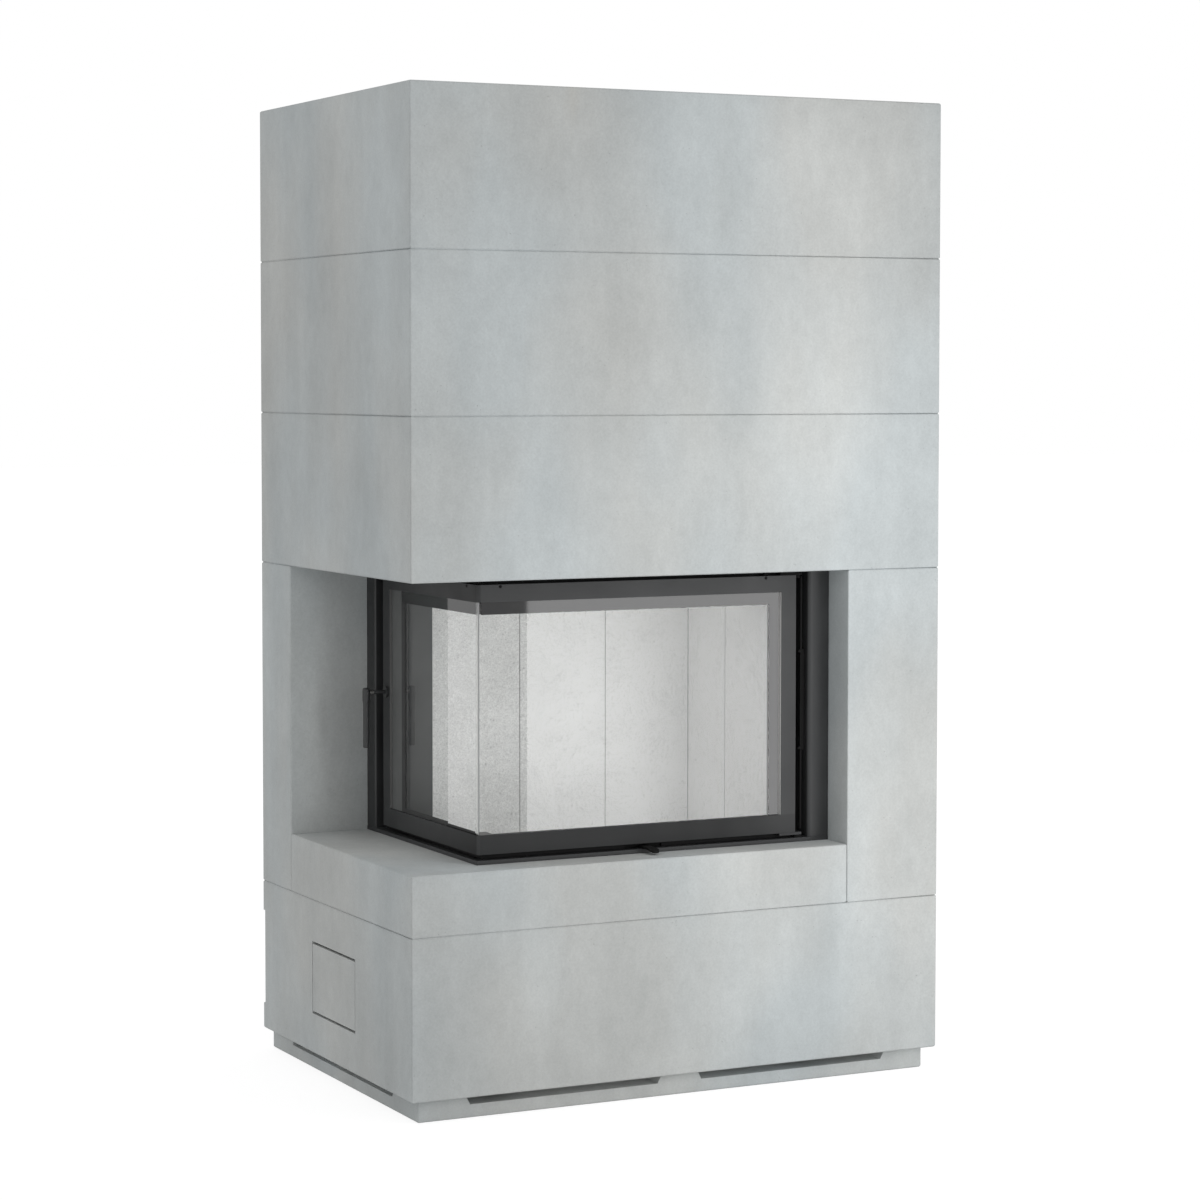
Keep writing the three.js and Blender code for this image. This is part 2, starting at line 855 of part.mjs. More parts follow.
function ashPan() {
  const inset = airBoxSheet + ashPanInset;
  const z = airBoxBottom + airBoxSheet;
  const spans = [airBoxSpan(grateX, inset), airBoxSpan(grateY, inset)];
  return openBox(spans[0], spans[1], [z, z + ashPanHeight], ashPanSheet);
}

function insertStand() {
  const x = [casingLeft, casingRight];
  const y = [casingFront, casingRear];
  const plateZ = [casingBottom - standPlate, casingBottom];
  const cut = block(shrunk(x, standRail), shrunk(y, standRail), [plateZ[0] - overrun, plateZ[1] + overrun]);
  let stand = block(x, y, plateZ).subtract(cut);
  for (const [xSide, xCorner] of [[1, x[0]], [-1, x[1]]]) {
    for (const [ySide, yCorner] of [[1, y[0]], [-1, y[1]]]) {
      stand = stand.add(standLeg(xSide, ySide).translate(xCorner, yCorner, 0));
    }
  }
  return stand;
}

// A span of one size that starts at zero and runs towards the given side.
function towards(side, size) {
  return side > 0 ? [0, size] : [-size, 0];
}

// An angle-iron leg with a plate for the levelling foot; it stands at the origin, inside a corner.
function standLeg(xSide, ySide) {
  const z = [footPlateRise, casingBottom - standPlate];
  const flangeX = block(towards(xSide, legFlange), towards(ySide, legSheet), z);
  const flangeY = block(towards(xSide, legSheet), towards(ySide, legFlange), z);
  const plateZ = [footPlateRise, footPlateRise + standPlate];
  return flangeX.add(flangeY).add(block(towards(xSide, legFlange), towards(ySide, legFlange), plateZ));
}

function levellingFoot() {
  const profile = [
    [0, 0],
    [footPadRadius, 0],
    [footPadRadius, footPadHeight],
    [footStemRadius, footPadHeight],
    [footStemRadius, footPlateRise],
    [0, footPlateRise],
  ];
  return turned(profile, smallRoundSides);
}

function addFeet() {
  const x = shrunk([casingLeft, casingRight], legFlange / 2);
  const y = shrunk([casingFront, casingRear], legFlange / 2);
  const places = [[x[0], y[0]], [x[1], y[0]], [x[0], y[1]], [x[1], y[1]]];
  places.forEach(([footX, footY], index) => {
    const foot = levellingFoot().translate(footX, footY, 0);
    addPiece(insert, `levelling_foot_${index + 1}`, foot, 'brightSteel');
  });
}

addPiece(insert, 'insert_stand', insertStand(), 'galvanised');
addFeet();
addPiece(insert, 'hearth_tray', ringPlate(-trayProud, [sillTop, trayTop]), 'blackSteel');
addPiece(insert, 'head_frame', ringPlate(headSetback, [headBottom, headTop]), 'blackSteel');
addPiece(insert, 'firebox_casing', fireboxCasing(), 'casingSteel');
addPiece(insert, 'face_frame', faceFrame(), 'blackSteel');
addPiece(insert, 'right_trim', rightTrim(), 'blackSteel');
addPiece(insert, 'left_trim', leftTrim(), 'blackSteel');
addPiece(insert, 'convection_mantle', convectionMantle(), 'galvanised');
addPiece(insert, 'corner_post', cornerPost(), 'blackSteel');
addPiece(insert, 'flue_collar', flueCollar(), 'castIron');
addPiece(insert, 'air_box', airBox(), 'casingSteel');
addPiece(insert, 'air_spigot', airSpigot(), 'galvanised');
addPiece(insert, 'ash_pan', ashPan(), 'galvanised');

// Lining

function addBackPanels() {
  const start = liningLeft + cornerPostWidth + clearance;
  const end = liningRight - panelThickness;
  const places = ['left', 'centre', 'right'];
  const pitch = (end - start + backPanelGap) / places.length;
  const y = [casingRear - casingWall - panelThickness, liningRear];
  places.forEach((place, index) => {
    const x = start + index * pitch;
    const panel = block([x, x + pitch - backPanelGap], y, [casingFloor, liningTop]);
    addPiece(lining, `back_panel_${place}`, panel, 'lining');
  });
}

function addRightPanels() {
  const x = [liningRight - panelThickness + clearance, liningRight];
  const joint = liningFront + rightPanelFrontShare * (liningRear - liningFront);
  const spans = { front: [liningFront, joint], rear: [joint + panelGap, liningRear] };
  for (const [place, y] of Object.entries(spans)) {
    addPiece(lining, `right_panel_${place}`, block(x, y, [casingFloor, liningTop]), 'lining');
  }
}

function addFloorPanels() {
  const y = [liningFront, casingRear - casingWall - panelThickness - clearance];
  const z = [casingFloor, floorTop];
  const half = grateSize / 2 + clearance;
  const cut = block([grateX - half, grateX + half], [grateY - half, grateY + half],
    [z[0] - overrun, z[1] + overrun]);
  const spans = {
    left: [liningLeft, grateX - panelGap / 2],
    right: [grateX + panelGap / 2, liningRight - panelThickness],
  };
  for (const [place, x] of Object.entries(spans)) {
    addPiece(lining, `floor_panel_${place}`, block(x, y, z).subtract(cut), 'lining');
  }
}

function baffle() {
  return block([liningLeft, liningRight], [liningFront + throatDepth, liningRear],
    [liningTop, liningTop + baffleThickness]);
}

function fireGrate() {
  const x = [grateX - grateSize / 2, grateX + grateSize / 2];
  const y = [grateY - grateSize / 2, grateY + grateSize / 2];
  const z = [casingFloor, casingFloor + grateThickness];
  const cutZ = [z[0] - overrun, z[1] + overrun];
  const pitch = (grateSize - 2 * grateRim + grateBar) / grateBars;
  let grate = block(x, y, z);
  for (let index = 0; index < grateBars; index += 1) {
    const start = x[0] + grateRim + index * pitch;
    grate = grate.subtract(block([start, start + pitch - grateBar], shrunk(y, grateRim), cutZ));
  }
  return grate;
}

addBackPanels();
addRightPanels();
addFloorPanels();
addPiece(lining, 'baffle', baffle(), 'lining');
addPiece(lining, 'fire_grate', fireGrate(), 'castIron');

// Door

const glassDepth = doorSetback + glassLip;
const paneRight = doorRight - doorStile + glassPocket;
const paneRear = doorRear - doorStile + glassPocket;
const paneZ = [doorBottom + doorBottomRail - glassPocket, doorTop - doorTopRail + glassPocket];

function doorFrame() {
  const frame = cornerFrame(
    [doorSetback, doorSetback + doorThickness],
    [doorRight, doorRear],
    [doorBottom, doorTop],
    [doorRight - doorStile, doorRear - doorStile],
    [doorBottom + doorBottomRail, doorTop - doorTopRail],
    doorCornerRadius,
  );
  const pocket = elbow(glassDepth, doorSetback + doorThickness + overrun, paneRight, paneRear, paneZ);
  const groove = gasketBand([gasketGroove, 0], clearance);
  const spindleHole = rod(spindleRadius + clearance, doorThickness + 2 * overrun).rotate([0, 90, 0]);
  const holeX = insertLeft + doorSetback - overrun;
  return frame.subtract(pocket).subtract(groove).subtract(spindleHole.translate(holeX, handleY, handleZ));
}

// A band behind the door's edge, widened by an easing; depths are measured from the door's back.
function gasketBand(depths, easing) {
  const back = doorSetback + doorThickness;
  const outer = gasketInset - easing;
  const inner = gasketInset + gasketWidth + easing;
  return cornerFrame(
    [back - depths[0], back + depths[1] + (easing > 0 ? overrun : 0)],
    [doorRight - outer, doorRear - outer],
    [doorBottom + outer, doorTop - outer],
    [doorRight - inner, doorRear - inner],
    [doorBottom + inner, doorTop - inner],
  );
}

function doorGasket() {
  const reach = faceSetback - doorSetback - doorThickness - clearance;
  return gasketBand([gasketGroove - clearance, reach], 0);
}

function frontGlass() {
  const start = glassDepth + clearance;
  const y = [insertFront + start, insertFront + start + glassThickness];
  return block([insertLeft + start, paneRight - clearance], y, shrunk(paneZ, clearance));
}

function sideGlass() {
  const start = glassDepth + clearance;
  const x = [insertLeft + start, insertLeft + start + glassThickness];
  const y = [insertFront + start + glassThickness + clearance, paneRear - clearance];
  return block(x, y, shrunk(paneZ, clearance));
}

// A bead holds both panes from behind, along the bottom or the top rail.
function glassBead(z) {
  const start = glassDepth + glassThickness + 2 * clearance;
  return elbow(start, start + beadThickness, paneRight - clearance, paneRear - clearance, z);
}

function hingeLeaf(z) {
  const x = [doorRight - leafOverlap, hingeX + leafBeyondPin];
  const y = [hingeY - leafDepth / 2, hingeY + leafDepth / 2];
  const bore = rod(pinRadius + clearance, leafThickness + 2 * overrun);
  return block(x, y, [z, z + leafThickness]).subtract(bore.translate(hingeX, hingeY, z - overrun));
}

function hingePin(z) {
  return rod(pinRadius, pinLength).translate(hingeX, hingeY, z);
}

function hingeBush() {
  const height = doorGapBelow - leafThickness - clearance;
  return tube(bushRadius, pinRadius + clearance, height).translate(hingeX, hingeY, trayTop);
}

function guardStrip() {
  const x = insertRight - trimWidthRight;
  const y = hingeY + guardDepth;
  const z = doorBottom + guardRise;
  return block([x - guardWidth, x], [y, y + guardDepth], [z, z + guardHeight]);
}

// The buffers on the door's top edge: two along the front and one along the side.
function addBuffers() {
  const face = [insertLeft + bufferSetback, insertFront + bufferSetback];
  const places = [
    [[insertLeft + bufferFromCorner, bufferLength], [face[1], bufferDepth]],
    [[insertRight - bufferFromRight, bufferLength], [face[1], bufferDepth]],
    [[face[0], bufferDepth], [insertFront + bufferAlongSide, bufferLength]],
  ];
  places.forEach(([x, y], index) => {
    const ends = [x, y].map(([start, size]) => [start, start + size]);
    const buffer = block(ends[0], ends[1], [doorTop, doorTop + bufferHeight]);
    addPiece(door, `door_buffer_${index + 1}`, buffer, 'blackSteel');
  });
}

function rosette() {
  const ring = tube(rosetteRadius, spindleRadius + clearance, rosetteThickness).rotate([0, 90, 0]);
  return ring.translate(insertLeft + doorSetback - rosetteThickness, handleY, handleZ);
}

const beadHeight = glassPocket - 2 * clearance;
const beadBottomZ = [paneZ[0] + clearance, paneZ[0] + clearance + beadHeight];
const beadTopZ = [paneZ[1] - clearance - beadHeight, paneZ[1] - clearance];

addPiece(door, 'door_frame', doorFrame(), 'blackSteel');
addPiece(door, 'front_glass', frontGlass(), 'glass');
addPiece(door, 'side_glass', sideGlass(), 'glass');
addPiece(door, 'glass_bead_bottom', glassBead(beadBottomZ), 'blackSteel');
addPiece(door, 'glass_bead_top', glassBead(beadTopZ), 'blackSteel');
addPiece(door, 'door_gasket', doorGasket(), 'gasket');
addPiece(door, 'hinge_leaf_lower', hingeLeaf(doorBottom - leafThickness), 'blackSteel');
addPiece(door, 'hinge_leaf_upper', hingeLeaf(doorTop), 'blackSteel');
addPiece(door, 'handle_rosette', rosette(), 'blackSteel');
addBuffers();
addPiece(insert, 'hinge_pin_lower', hingePin(trayTop), 'blackSteel');
addPiece(insert, 'hinge_pin_upper', hingePin(headBottom - pinLength), 'blackSteel');
addPiece(insert, 'hinge_bush', hingeBush(), 'blackSteel');
addPiece(insert, 'hinge_guard_strip', guardStrip(), 'blackSteel');

// Handle

// Lays a turned piece on the handle's axis, from a place in X towards the door.
function onHandleAxis(solid, start) {
  return solid.rotate([0, 90, 0]).translate(start, handleY, handleZ);
}

// A turned head with a rounded crown, tapered into the grip below it, and bored for the spindle.
function hub() {
  const crownBottom = hubBelow + hubAbove - hubCrown;
  const profile = [[0, 0], [gripRadius, 0], [hubRadius, hubTaper]];
  for (let step = 0; step <= cornerSteps; step += 1) {
    const angle = (step / cornerSteps) * (Math.PI / 2);
    const radius = hubCrownRadius + (hubRadius - hubCrownRadius) * Math.cos(angle);
    profile.push([radius, crownBottom + hubCrown * Math.sin(angle)]);
  }
  profile.push([0, crownBottom + hubCrown]);
  const head = turned(profile, smallRoundSides).translate(hubX, handleY, handleZ - hubBelow);
  const bore = onHandleAxis(rod(spindleRadius + clearance, hubRadius + overrun), hubX);
  return head.subtract(bore);
}

// The grip hangs from the hub and is chamfered at its end.
function grip() {
  const profile = [
    [0, 0],
    [gripRadius - gripChamfer, 0],
    [gripRadius, gripChamfer],
    [gripRadius, gripLength],
    [0, gripLength],
  ];
  return turned(profile, smallRoundSides).translate(hubX, handleY, handleZ - hubBelow - gripLength);
}

// A tapered collar between the hub and the open length of the spindle.
function handleNeck() {
  const bore = spindleRadius + clearance;
  const profile = [[bore, 0], [neckRadius, 0], [neckEndRadius, neckLength], [bore, neckLength], [bore, 0]];
  return onHandleAxis(turned(profile, smallRoundSides), hubX + hubRadius);
}

function spindle() {
  return onHandleAxis(rod(spindleRadius, camFront - hubX), hubX);
}

// The cam's tongue points to the rear while the grip hangs down.
function latchCam() {
  const shape = new THREE.Shape();
  shape.absarc(handleY + camLength, handleZ, camRadius, -Math.PI / 2, Math.PI / 2, false);
  shape.absarc(handleY, handleZ, camRadius, Math.PI / 2, 1.5 * Math.PI, false);
  return sidePrism(shape, [camFront, camFront + camThickness], smallRoundSides);
}

addPiece(handle, 'handle_hub', hub(), 'blackSteel');
addPiece(handle, 'handle_grip', grip(), 'blackSteel');
addPiece(handle, 'handle_neck', handleNeck(), 'brightSteel');
addPiece(handle, 'handle_spindle', spindle(), 'blackSteel');
addPiece(handle, 'latch_cam', latchCam(), 'brightSteel');

// Air register

const registerFront = insertFront + faceSetback + faceThickness + clearance;
const registerRear = casingFront - clearance;

function airRegister() {
  const z = [trayTop + clearance, trayTop + clearance + registerHeight];
  const plate = block([registerX - registerLength / 2, registerX + registerLength / 2],
    [registerFront, registerRear], z);
  const cuts = registerSlotCuts(-registerSlotLength / 2, [registerFront - overrun, registerRear + overrun]);
  return cuts.reduce((solid, cut) => solid.subtract(cut), plate);
}

// The lever runs level from the register to just past the tray, then bends down in an arc. Its side
// outline is carried across its width, and its tip is rounded in plan.
function airLever() {
  const bottom = trayTop + leverLift;
  const bendY = insertFront - leverStart;
  const centreZ = bottom + leverThickness / 2 - leverBend;
  const radii = [leverBend - leverThickness / 2, leverBend + leverThickness / 2];
  const angle = Math.asin(leverReach / leverBend);
  const upright = Math.PI / 2;
  const side = new THREE.Shape();
  side.moveTo(registerFront, bottom);
  side.lineTo(registerFront, bottom + leverThickness);
  side.absarc(bendY, centreZ, radii[1], upright, upright + angle, false);
  side.absarc(bendY, centreZ, radii[0], upright + angle, upright, true);
  const half = leverWidth / 2;
  const x = [registerX - half, registerX + half];
  const tipY = bendY - leverReach;
  const plan = new THREE.Shape();
  plan.moveTo(x[1], registerFront + overrun);
  plan.lineTo(x[0], registerFront + overrun);
  plan.absarc(registerX, tipY + half, half, Math.PI, 2 * Math.PI, false);
  const planZ = [sillTop, trayTop + doorGapBelow];
  return sidePrism(side, x, 2 * cornerSteps).intersect(prism(plan, planZ, smallRoundSides));
}

addPiece(airControl, 'air_lever', airLever(), 'blackSteel');
addPiece(airControl, 'air_register', airRegister(), 'casingSteel');

export default kit;
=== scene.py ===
"""Looks, small fittings, studio and camera of the fireplace kit, in metres, in the CAD parts' own frame."""

import json
import math

import bmesh
import bpy
from mathutils import Matrix, Vector


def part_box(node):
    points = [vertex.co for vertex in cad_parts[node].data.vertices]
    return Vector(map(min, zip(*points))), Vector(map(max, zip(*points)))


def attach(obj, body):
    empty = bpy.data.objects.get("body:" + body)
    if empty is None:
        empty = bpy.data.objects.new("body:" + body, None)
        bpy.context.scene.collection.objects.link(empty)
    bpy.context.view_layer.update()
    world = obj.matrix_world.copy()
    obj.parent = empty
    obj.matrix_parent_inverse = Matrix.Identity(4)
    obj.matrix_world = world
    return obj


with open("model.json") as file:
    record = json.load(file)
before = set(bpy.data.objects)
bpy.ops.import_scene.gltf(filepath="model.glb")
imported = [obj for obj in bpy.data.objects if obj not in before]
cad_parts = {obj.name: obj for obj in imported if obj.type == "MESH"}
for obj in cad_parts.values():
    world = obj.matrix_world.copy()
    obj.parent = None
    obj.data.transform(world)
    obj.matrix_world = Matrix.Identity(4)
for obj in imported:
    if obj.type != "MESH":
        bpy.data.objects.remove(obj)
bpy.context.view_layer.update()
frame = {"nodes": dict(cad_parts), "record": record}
nodes = frame["nodes"]


# Camera, solved from the photograph's straight edges
IMAGE_SIDE = 1200
SENSOR = 36.0
FOCAL_PIXELS = 3148.6
CENTRE_PIXEL = (554.8, 535.8)
CAMERA_PLACE = (-2.802, -5.558, 1.3557)
CAMERA_YAW = 26.02
CAMERA_PITCH = 2.881
CLIP_START = 0.1
CLIP_END = 200


def make_camera():
    data = bpy.data.cameras.new("camera")
    data.sensor_width = SENSOR
    data.lens = FOCAL_PIXELS / IMAGE_SIDE * SENSOR
    half = IMAGE_SIDE / 2
    data.shift_x = (half - CENTRE_PIXEL[0]) / IMAGE_SIDE
    data.shift_y = (CENTRE_PIXEL[1] - half) / IMAGE_SIDE
    data.clip_start = CLIP_START
    data.clip_end = CLIP_END
    yaw = math.radians(CAMERA_YAW)
    pitch = math.radians(CAMERA_PITCH)
    level = math.cos(pitch)
    ahead = Vector((math.sin(yaw) * level, math.cos(yaw) * level, -math.sin(pitch)))
    right = Vector((math.cos(yaw), -math.sin(yaw), 0))
    up = right.cross(ahead)
    turn = Matrix((right, up, -ahead)).transposed().to_4x4()
    camera = bpy.data.objects.new("camera", data)
    camera.matrix_world = Matrix.Translation(CAMERA_PLACE) @ turn
    bpy.context.scene.collection.objects.link(camera)
    bpy.context.scene.camera = camera


# Node graphs

# Where nearly all of a noise's values lie
NOISE_VALUES = (0.3, 0.7)


class Graph:
    """A material's node tree. Each call adds one node and gives back its output."""

    def __init__(self, name):
        self.material = bpy.data.materials.new(name)
        self.material.use_nodes = True
        self.tree = self.material.node_tree
        self.tree.nodes.clear()
        self.place = self.add("ShaderNodeTexCoord").outputs["Object"]

    def add(self, kind, **settings):
        node = self.tree.nodes.new(kind)
        for name, value in settings.items():
            setattr(node, name, value)
        return node

    def put(self, socket, value):
        if isinstance(value, bpy.types.NodeSocket):
            self.tree.links.new(value, socket)
        else:
            socket.default_value = value

    def fill(self, node, values):
        for name, value in values.items():
            self.put(node.inputs[name], value)

    def stretched(self, scale, shift=(0, 0, 0)):
        node = self.add("ShaderNodeMapping")
        self.fill(node, {"Vector": self.place, "Scale": scale, "Location": shift})
        return node.outputs["Vector"]

    def noise(self, scale, detail=2.0, roughness=0.5, place=None):
        node = self.add("ShaderNodeTexNoise")
        self.fill(node, {
            "Vector": place or self.place,
            "Scale": scale,
            "Detail": detail,
            "Roughness": roughness,
        })
        return node.outputs["Fac"]

    def cells(self, scale, output="Distance"):
        node = self.add("ShaderNodeTexVoronoi")
        self.fill(node, {"Vector": self.place, "Scale": scale})
        return node.outputs[output]

    def stripes(self, scale, place=None):
        """Even slanting stripes."""
        node = self.add("ShaderNodeTexWave", bands_direction="DIAGONAL")
        self.fill(node, {"Vector": place or self.place, "Scale": scale})
        return node.outputs["Fac"]

    def span(self, value, source, target):
        """Takes a value from one range to another and holds it there."""
        node = self.add("ShaderNodeMapRange")
        self.fill(node, {
            "Value": value,
            "From Min": source[0],
            "From Max": source[1],
            "To Min": target[0],
            "To Max": target[1],
        })
        return node.outputs["Result"]

    def vary(self, noise, low, high):
        """Takes a noise's usual values to a range."""
        return self.span(noise, NOISE_VALUES, (low, high))

    def calc(self, operation, first, second):
        node = self.add("ShaderNodeMath", operation=operation)
        self.put(node.inputs[0], first)
        self.put(node.inputs[1], second)
        return node.outputs[0]

    def product(self, first, *others):
        for other in others:
            first = self.calc("MULTIPLY", first, other)
        return first

    def parts(self, vector):
        node = self.add("ShaderNodeSeparateXYZ")
        self.put(node.inputs[0], vector)
        return node.outputs

    def mix(self, share, first, second):
        node = self.add("ShaderNodeMix", data_type="RGBA")
        self.put(node.inputs["Factor"], share)
        self.put(node.inputs[6], as_colour(first))
        self.put(node.inputs[7], as_colour(second))
        return node.outputs[2]

    def scaled(self, colour, value):
        node = self.add("ShaderNodeVectorMath", operation="SCALE")
        self.put(node.inputs[0], colour)
        self.put(node.inputs["Scale"], value)
        return node.outputs[0]

    def bump(self, height, distance, below=None):
        node = self.add("ShaderNodeBump")
        self.fill(node, {"Height": height, "Distance": distance})
        if below is not None:
            self.put(node.inputs["Normal"], below)
        return node.outputs["Normal"]

    def principled(self, values):
        node = self.add("ShaderNodeBsdfPrincipled")
        self.fill(node, values)
        return node.outputs["BSDF"]

    def blended(self, share, first, second):
        """The share of the second shader over the first one."""
        node = self.add("ShaderNodeMixShader")
        self.put(node.inputs[0], share)
        self.put(node.inputs[1], first.outputs[0])
        self.put(node.inputs[2], second.outputs[0])
        return node.outputs[0]

    def finish(self, surface):
        output = self.add("ShaderNodeOutputMaterial")
        self.put(output.inputs["Surface"], surface)
        return self.material


def as_colour(value):
    if isinstance(value, bpy.types.NodeSocket):
        return value
    return (*value, 1.0)


# Materials. A noise's scale is the number of its waves in a metre.

STONE_WARM = (0.498, 0.510, 0.500)
STONE_COOL = (0.474, 0.507, 0.514)
STONE_STAIN = (0.500, 0.470, 0.420)


def cast_stone():
    """Pale cast concrete: soft clouds, upright streaks, cool and warm patches, stains, grain and pores."""
    g = Graph("cast_stone")
    clouds = g.noise(2.3, detail=4, roughness=0.55, place=g.stretched((1, 1, 0.8)))
    streaks = g.noise(7.0, detail=3, roughness=0.5, place=g.stretched((1.6, 1.6, 0.16), (3, 1, 0)))
    blotches = g.noise(11, detail=5, roughness=0.6, place=g.stretched((1, 1, 0.6), (0, 5, 2)))
    mottle = g.noise(55, detail=3, roughness=0.6, place=g.stretched((1, 1, 0.7), (5, 0, 3)))
    grain = g.noise(230, detail=3, roughness=0.75)
    tint = g.noise(3.1, detail=2, place=g.stretched((1, 1, 0.45), (7, 3, 1)))
    stone = g.mix(g.span(tint, (0.38, 0.62), (0, 1)), STONE_WARM, STONE_COOL)
    stain_place = g.stretched((1, 1, 0.25), (11, 4, 6))
    stain = g.span(g.noise(9, detail=3, place=stain_place), (0.68, 0.82), (0, 0.35))
    stone = g.mix(stain, stone, STONE_STAIN)
    pores = g.span(g.cells(140), (0.06, 0.16), (1, 0))
    sparse = g.span(g.noise(35, place=g.stretched((1, 1, 1), (2, 9, 4))), (0.60, 0.66), (0, 1))
    pores = g.product(pores, sparse)
    shade = g.product(
        g.vary(clouds, 0.895, 1.105),
        g.vary(streaks, 0.965, 1.035),
        g.vary(blotches, 0.96, 1.04),
        g.vary(mottle, 0.97, 1.03),
        g.vary(grain, 0.94, 1.06),
        g.span(pores, (0, 1), (1, 0.78)),
    )
    normal = g.bump(g.noise(9, detail=3), 0.0012)
    normal = g.bump(grain, 0.00012, normal)
    normal = g.bump(g.calc("SUBTRACT", 1.0, pores), 0.0006, normal)
    return g.finish(g.principled({
        "Base Color": g.scaled(stone, shade),
        "Roughness": g.vary(clouds, 0.82, 0.93),
        "Specular IOR Level": 0.3,
        "Normal": normal,
    }))


GLOSS_VARIES = 0.05


def paint_values(g, colour, roughness, texture):
    """Heat-resistant paint on steel: nearly even, with a fine sprayed texture and slightly uneven gloss."""
    spray = g.noise(900, detail=2, roughness=0.6)
    cloud = g.noise(14, detail=3)
    shade = g.product(g.vary(cloud, 0.88, 1.12), g.vary(spray, 0.9, 1.1))
    tone = g.add("ShaderNodeRGB")
    tone.outputs[0].default_value = as_colour(colour)
    return {
        "Base Color": g.scaled(tone.outputs[0], shade),
        "Roughness": g.vary(cloud, roughness - GLOSS_VARIES, roughness + GLOSS_VARIES),
        "Normal": g.bump(spray, texture),
    }


def black_paint(name, colour, roughness, texture, shine=0.5):
    g = Graph(name)
    values = paint_values(g, colour, roughness, texture)
    values["Specular IOR Level"] = shine
    return g.finish(g.principled(values))


# Painted shade on the door: darker, less glossy paint on the bottom rail's front, unevenly along its width,
# and on the left side's rails, less and less away from the corner
SHADE_EDGE = 0.0008
SHADE_BELOW = 0.5105
SHADE_FRONT_Y = -0.3022
SHADE_RISE_X = (-0.36, 0.10)
SHADE_RISE = (0.55, 0.78)
SHADE_FALL_X = (0.12, 0.27)
SHADE_FALL = (1, 0.35)
SHADE_SIDE_X = -0.3947
SHADE_FADE_Y = (-0.31, 0.05)


def door_paint():
    """The door's black paint, with painted shade: darker and less glossy along the bottom rail's front and
    on the side rails.
    """
    g = Graph("door_paint")
    values = paint_values(g, (0.022, 0.023, 0.024), 0.45, 0.00002)
    x, y, z = g.parts(g.place)
    front = g.product(
        g.span(z, (SHADE_BELOW - SHADE_EDGE, SHADE_BELOW), (1, 0)),
        g.span(y, (SHADE_FRONT_Y - SHADE_EDGE, SHADE_FRONT_Y), (1, 0)),
        g.span(x, SHADE_RISE_X, SHADE_RISE),
        g.span(x, SHADE_FALL_X, SHADE_FALL),
    )
    side = g.product(
        g.span(x, (SHADE_SIDE_X - SHADE_EDGE, SHADE_SIDE_X), (1, 0)),
        g.span(y, SHADE_FADE_Y, (1, 0)),
    )
    # painted shade: darker, less glossy paint along the bottom rail's front and the left side's rails
    door_shade = g.calc("MAXIMUM", front, side)
    values["Base Color"] = g.scaled(values["Base Color"], g.span(door_shade, (0, 1), (1, 0.4)))
    values["Specular IOR Level"] = g.span(door_shade, (0, 1), (0.5, 0.2))
    return g.finish(g.principled(values))


# Painted shade on the face frame: darker, less glossy paint above and below the door, in the gaps where
# shade falls
FRAME_SHADE_BELOW = 0.474
FRAME_SHADE_ABOVE = 0.972
FRAME_SHADE_FADE = 0.003


def frame_paint():
    """The face frame's black paint, with painted shade where it stands clear of the door's edges."""
    g = Graph("frame_paint")
    values = paint_values(g, (0.044, 0.044, 0.045), 0.55, 0.00003)
    height = g.parts(g.place)["Z"]
    below = g.span(height, (FRAME_SHADE_BELOW - FRAME_SHADE_FADE, FRAME_SHADE_BELOW), (1, 0))
    above = g.span(height, (FRAME_SHADE_ABOVE, FRAME_SHADE_ABOVE + FRAME_SHADE_FADE), (0, 1))
    # painted shade in the gaps above and below the door
    frame_shade = g.calc("MAXIMUM", below, above)
    values["Base Color"] = g.scaled(values["Base Color"], g.span(frame_shade, (0, 1), (1, 0.22)))
    values["Specular IOR Level"] = g.span(frame_shade, (0, 1), (0.4, 0.1))
    return g.finish(g.principled(values))


def galvanised_steel():
    """Zinc-coated sheet with its spangle."""
    g = Graph("galvanised_steel")
    tint, gloss, _ = g.parts(g.cells(85, output="Color"))
    shade = g.span(tint, (0, 1), (0.82, 1.12))
    tone = g.mix(g.noise(4, detail=2), (0.46, 0.47, 0.48), (0.52, 0.53, 0.54))
    return g.finish(g.principled({
        "Base Color": g.scaled(tone, shade),
        "Metallic": 0.9,
        "Roughness": g.span(gloss, (0, 1), (0.32, 0.52)),
        "Normal": g.bump(g.noise(300, detail=2), 0.00004),
    }))


def turned_metal(name, low, high):
    """Bare metal with fine tool marks round its height."""
    g = Graph(name)
    marks = g.noise(60, detail=3, place=g.stretched((0.3, 0.3, 30)))
    return g.finish(g.principled({
        "Base Color": g.mix(g.vary(marks, 0, 1), low, high),
        "Metallic": 1.0,
        "Roughness": g.vary(marks, 0.22, 0.36),
        "Normal": g.bump(marks, 0.00003),
    }))


def cast_iron():
    """Dark iron with a rough skin and a little rust."""
    g = Graph("cast_iron")
    skin = g.noise(260, detail=4, roughness=0.65)
    rust = g.span(g.noise(22, detail=4), (0.56, 0.72), (0, 0.5))
    tone = g.mix(rust, (0.032, 0.031, 0.030), (0.075, 0.045, 0.028))
    return g.finish(g.principled({
        "Base Color": g.scaled(tone, g.vary(skin, 0.8, 1.2)),
        "Metallic": 0.4,
        "Roughness": g.vary(skin, 0.6, 0.8),
        "Normal": g.bump(skin, 0.0004),
    }))


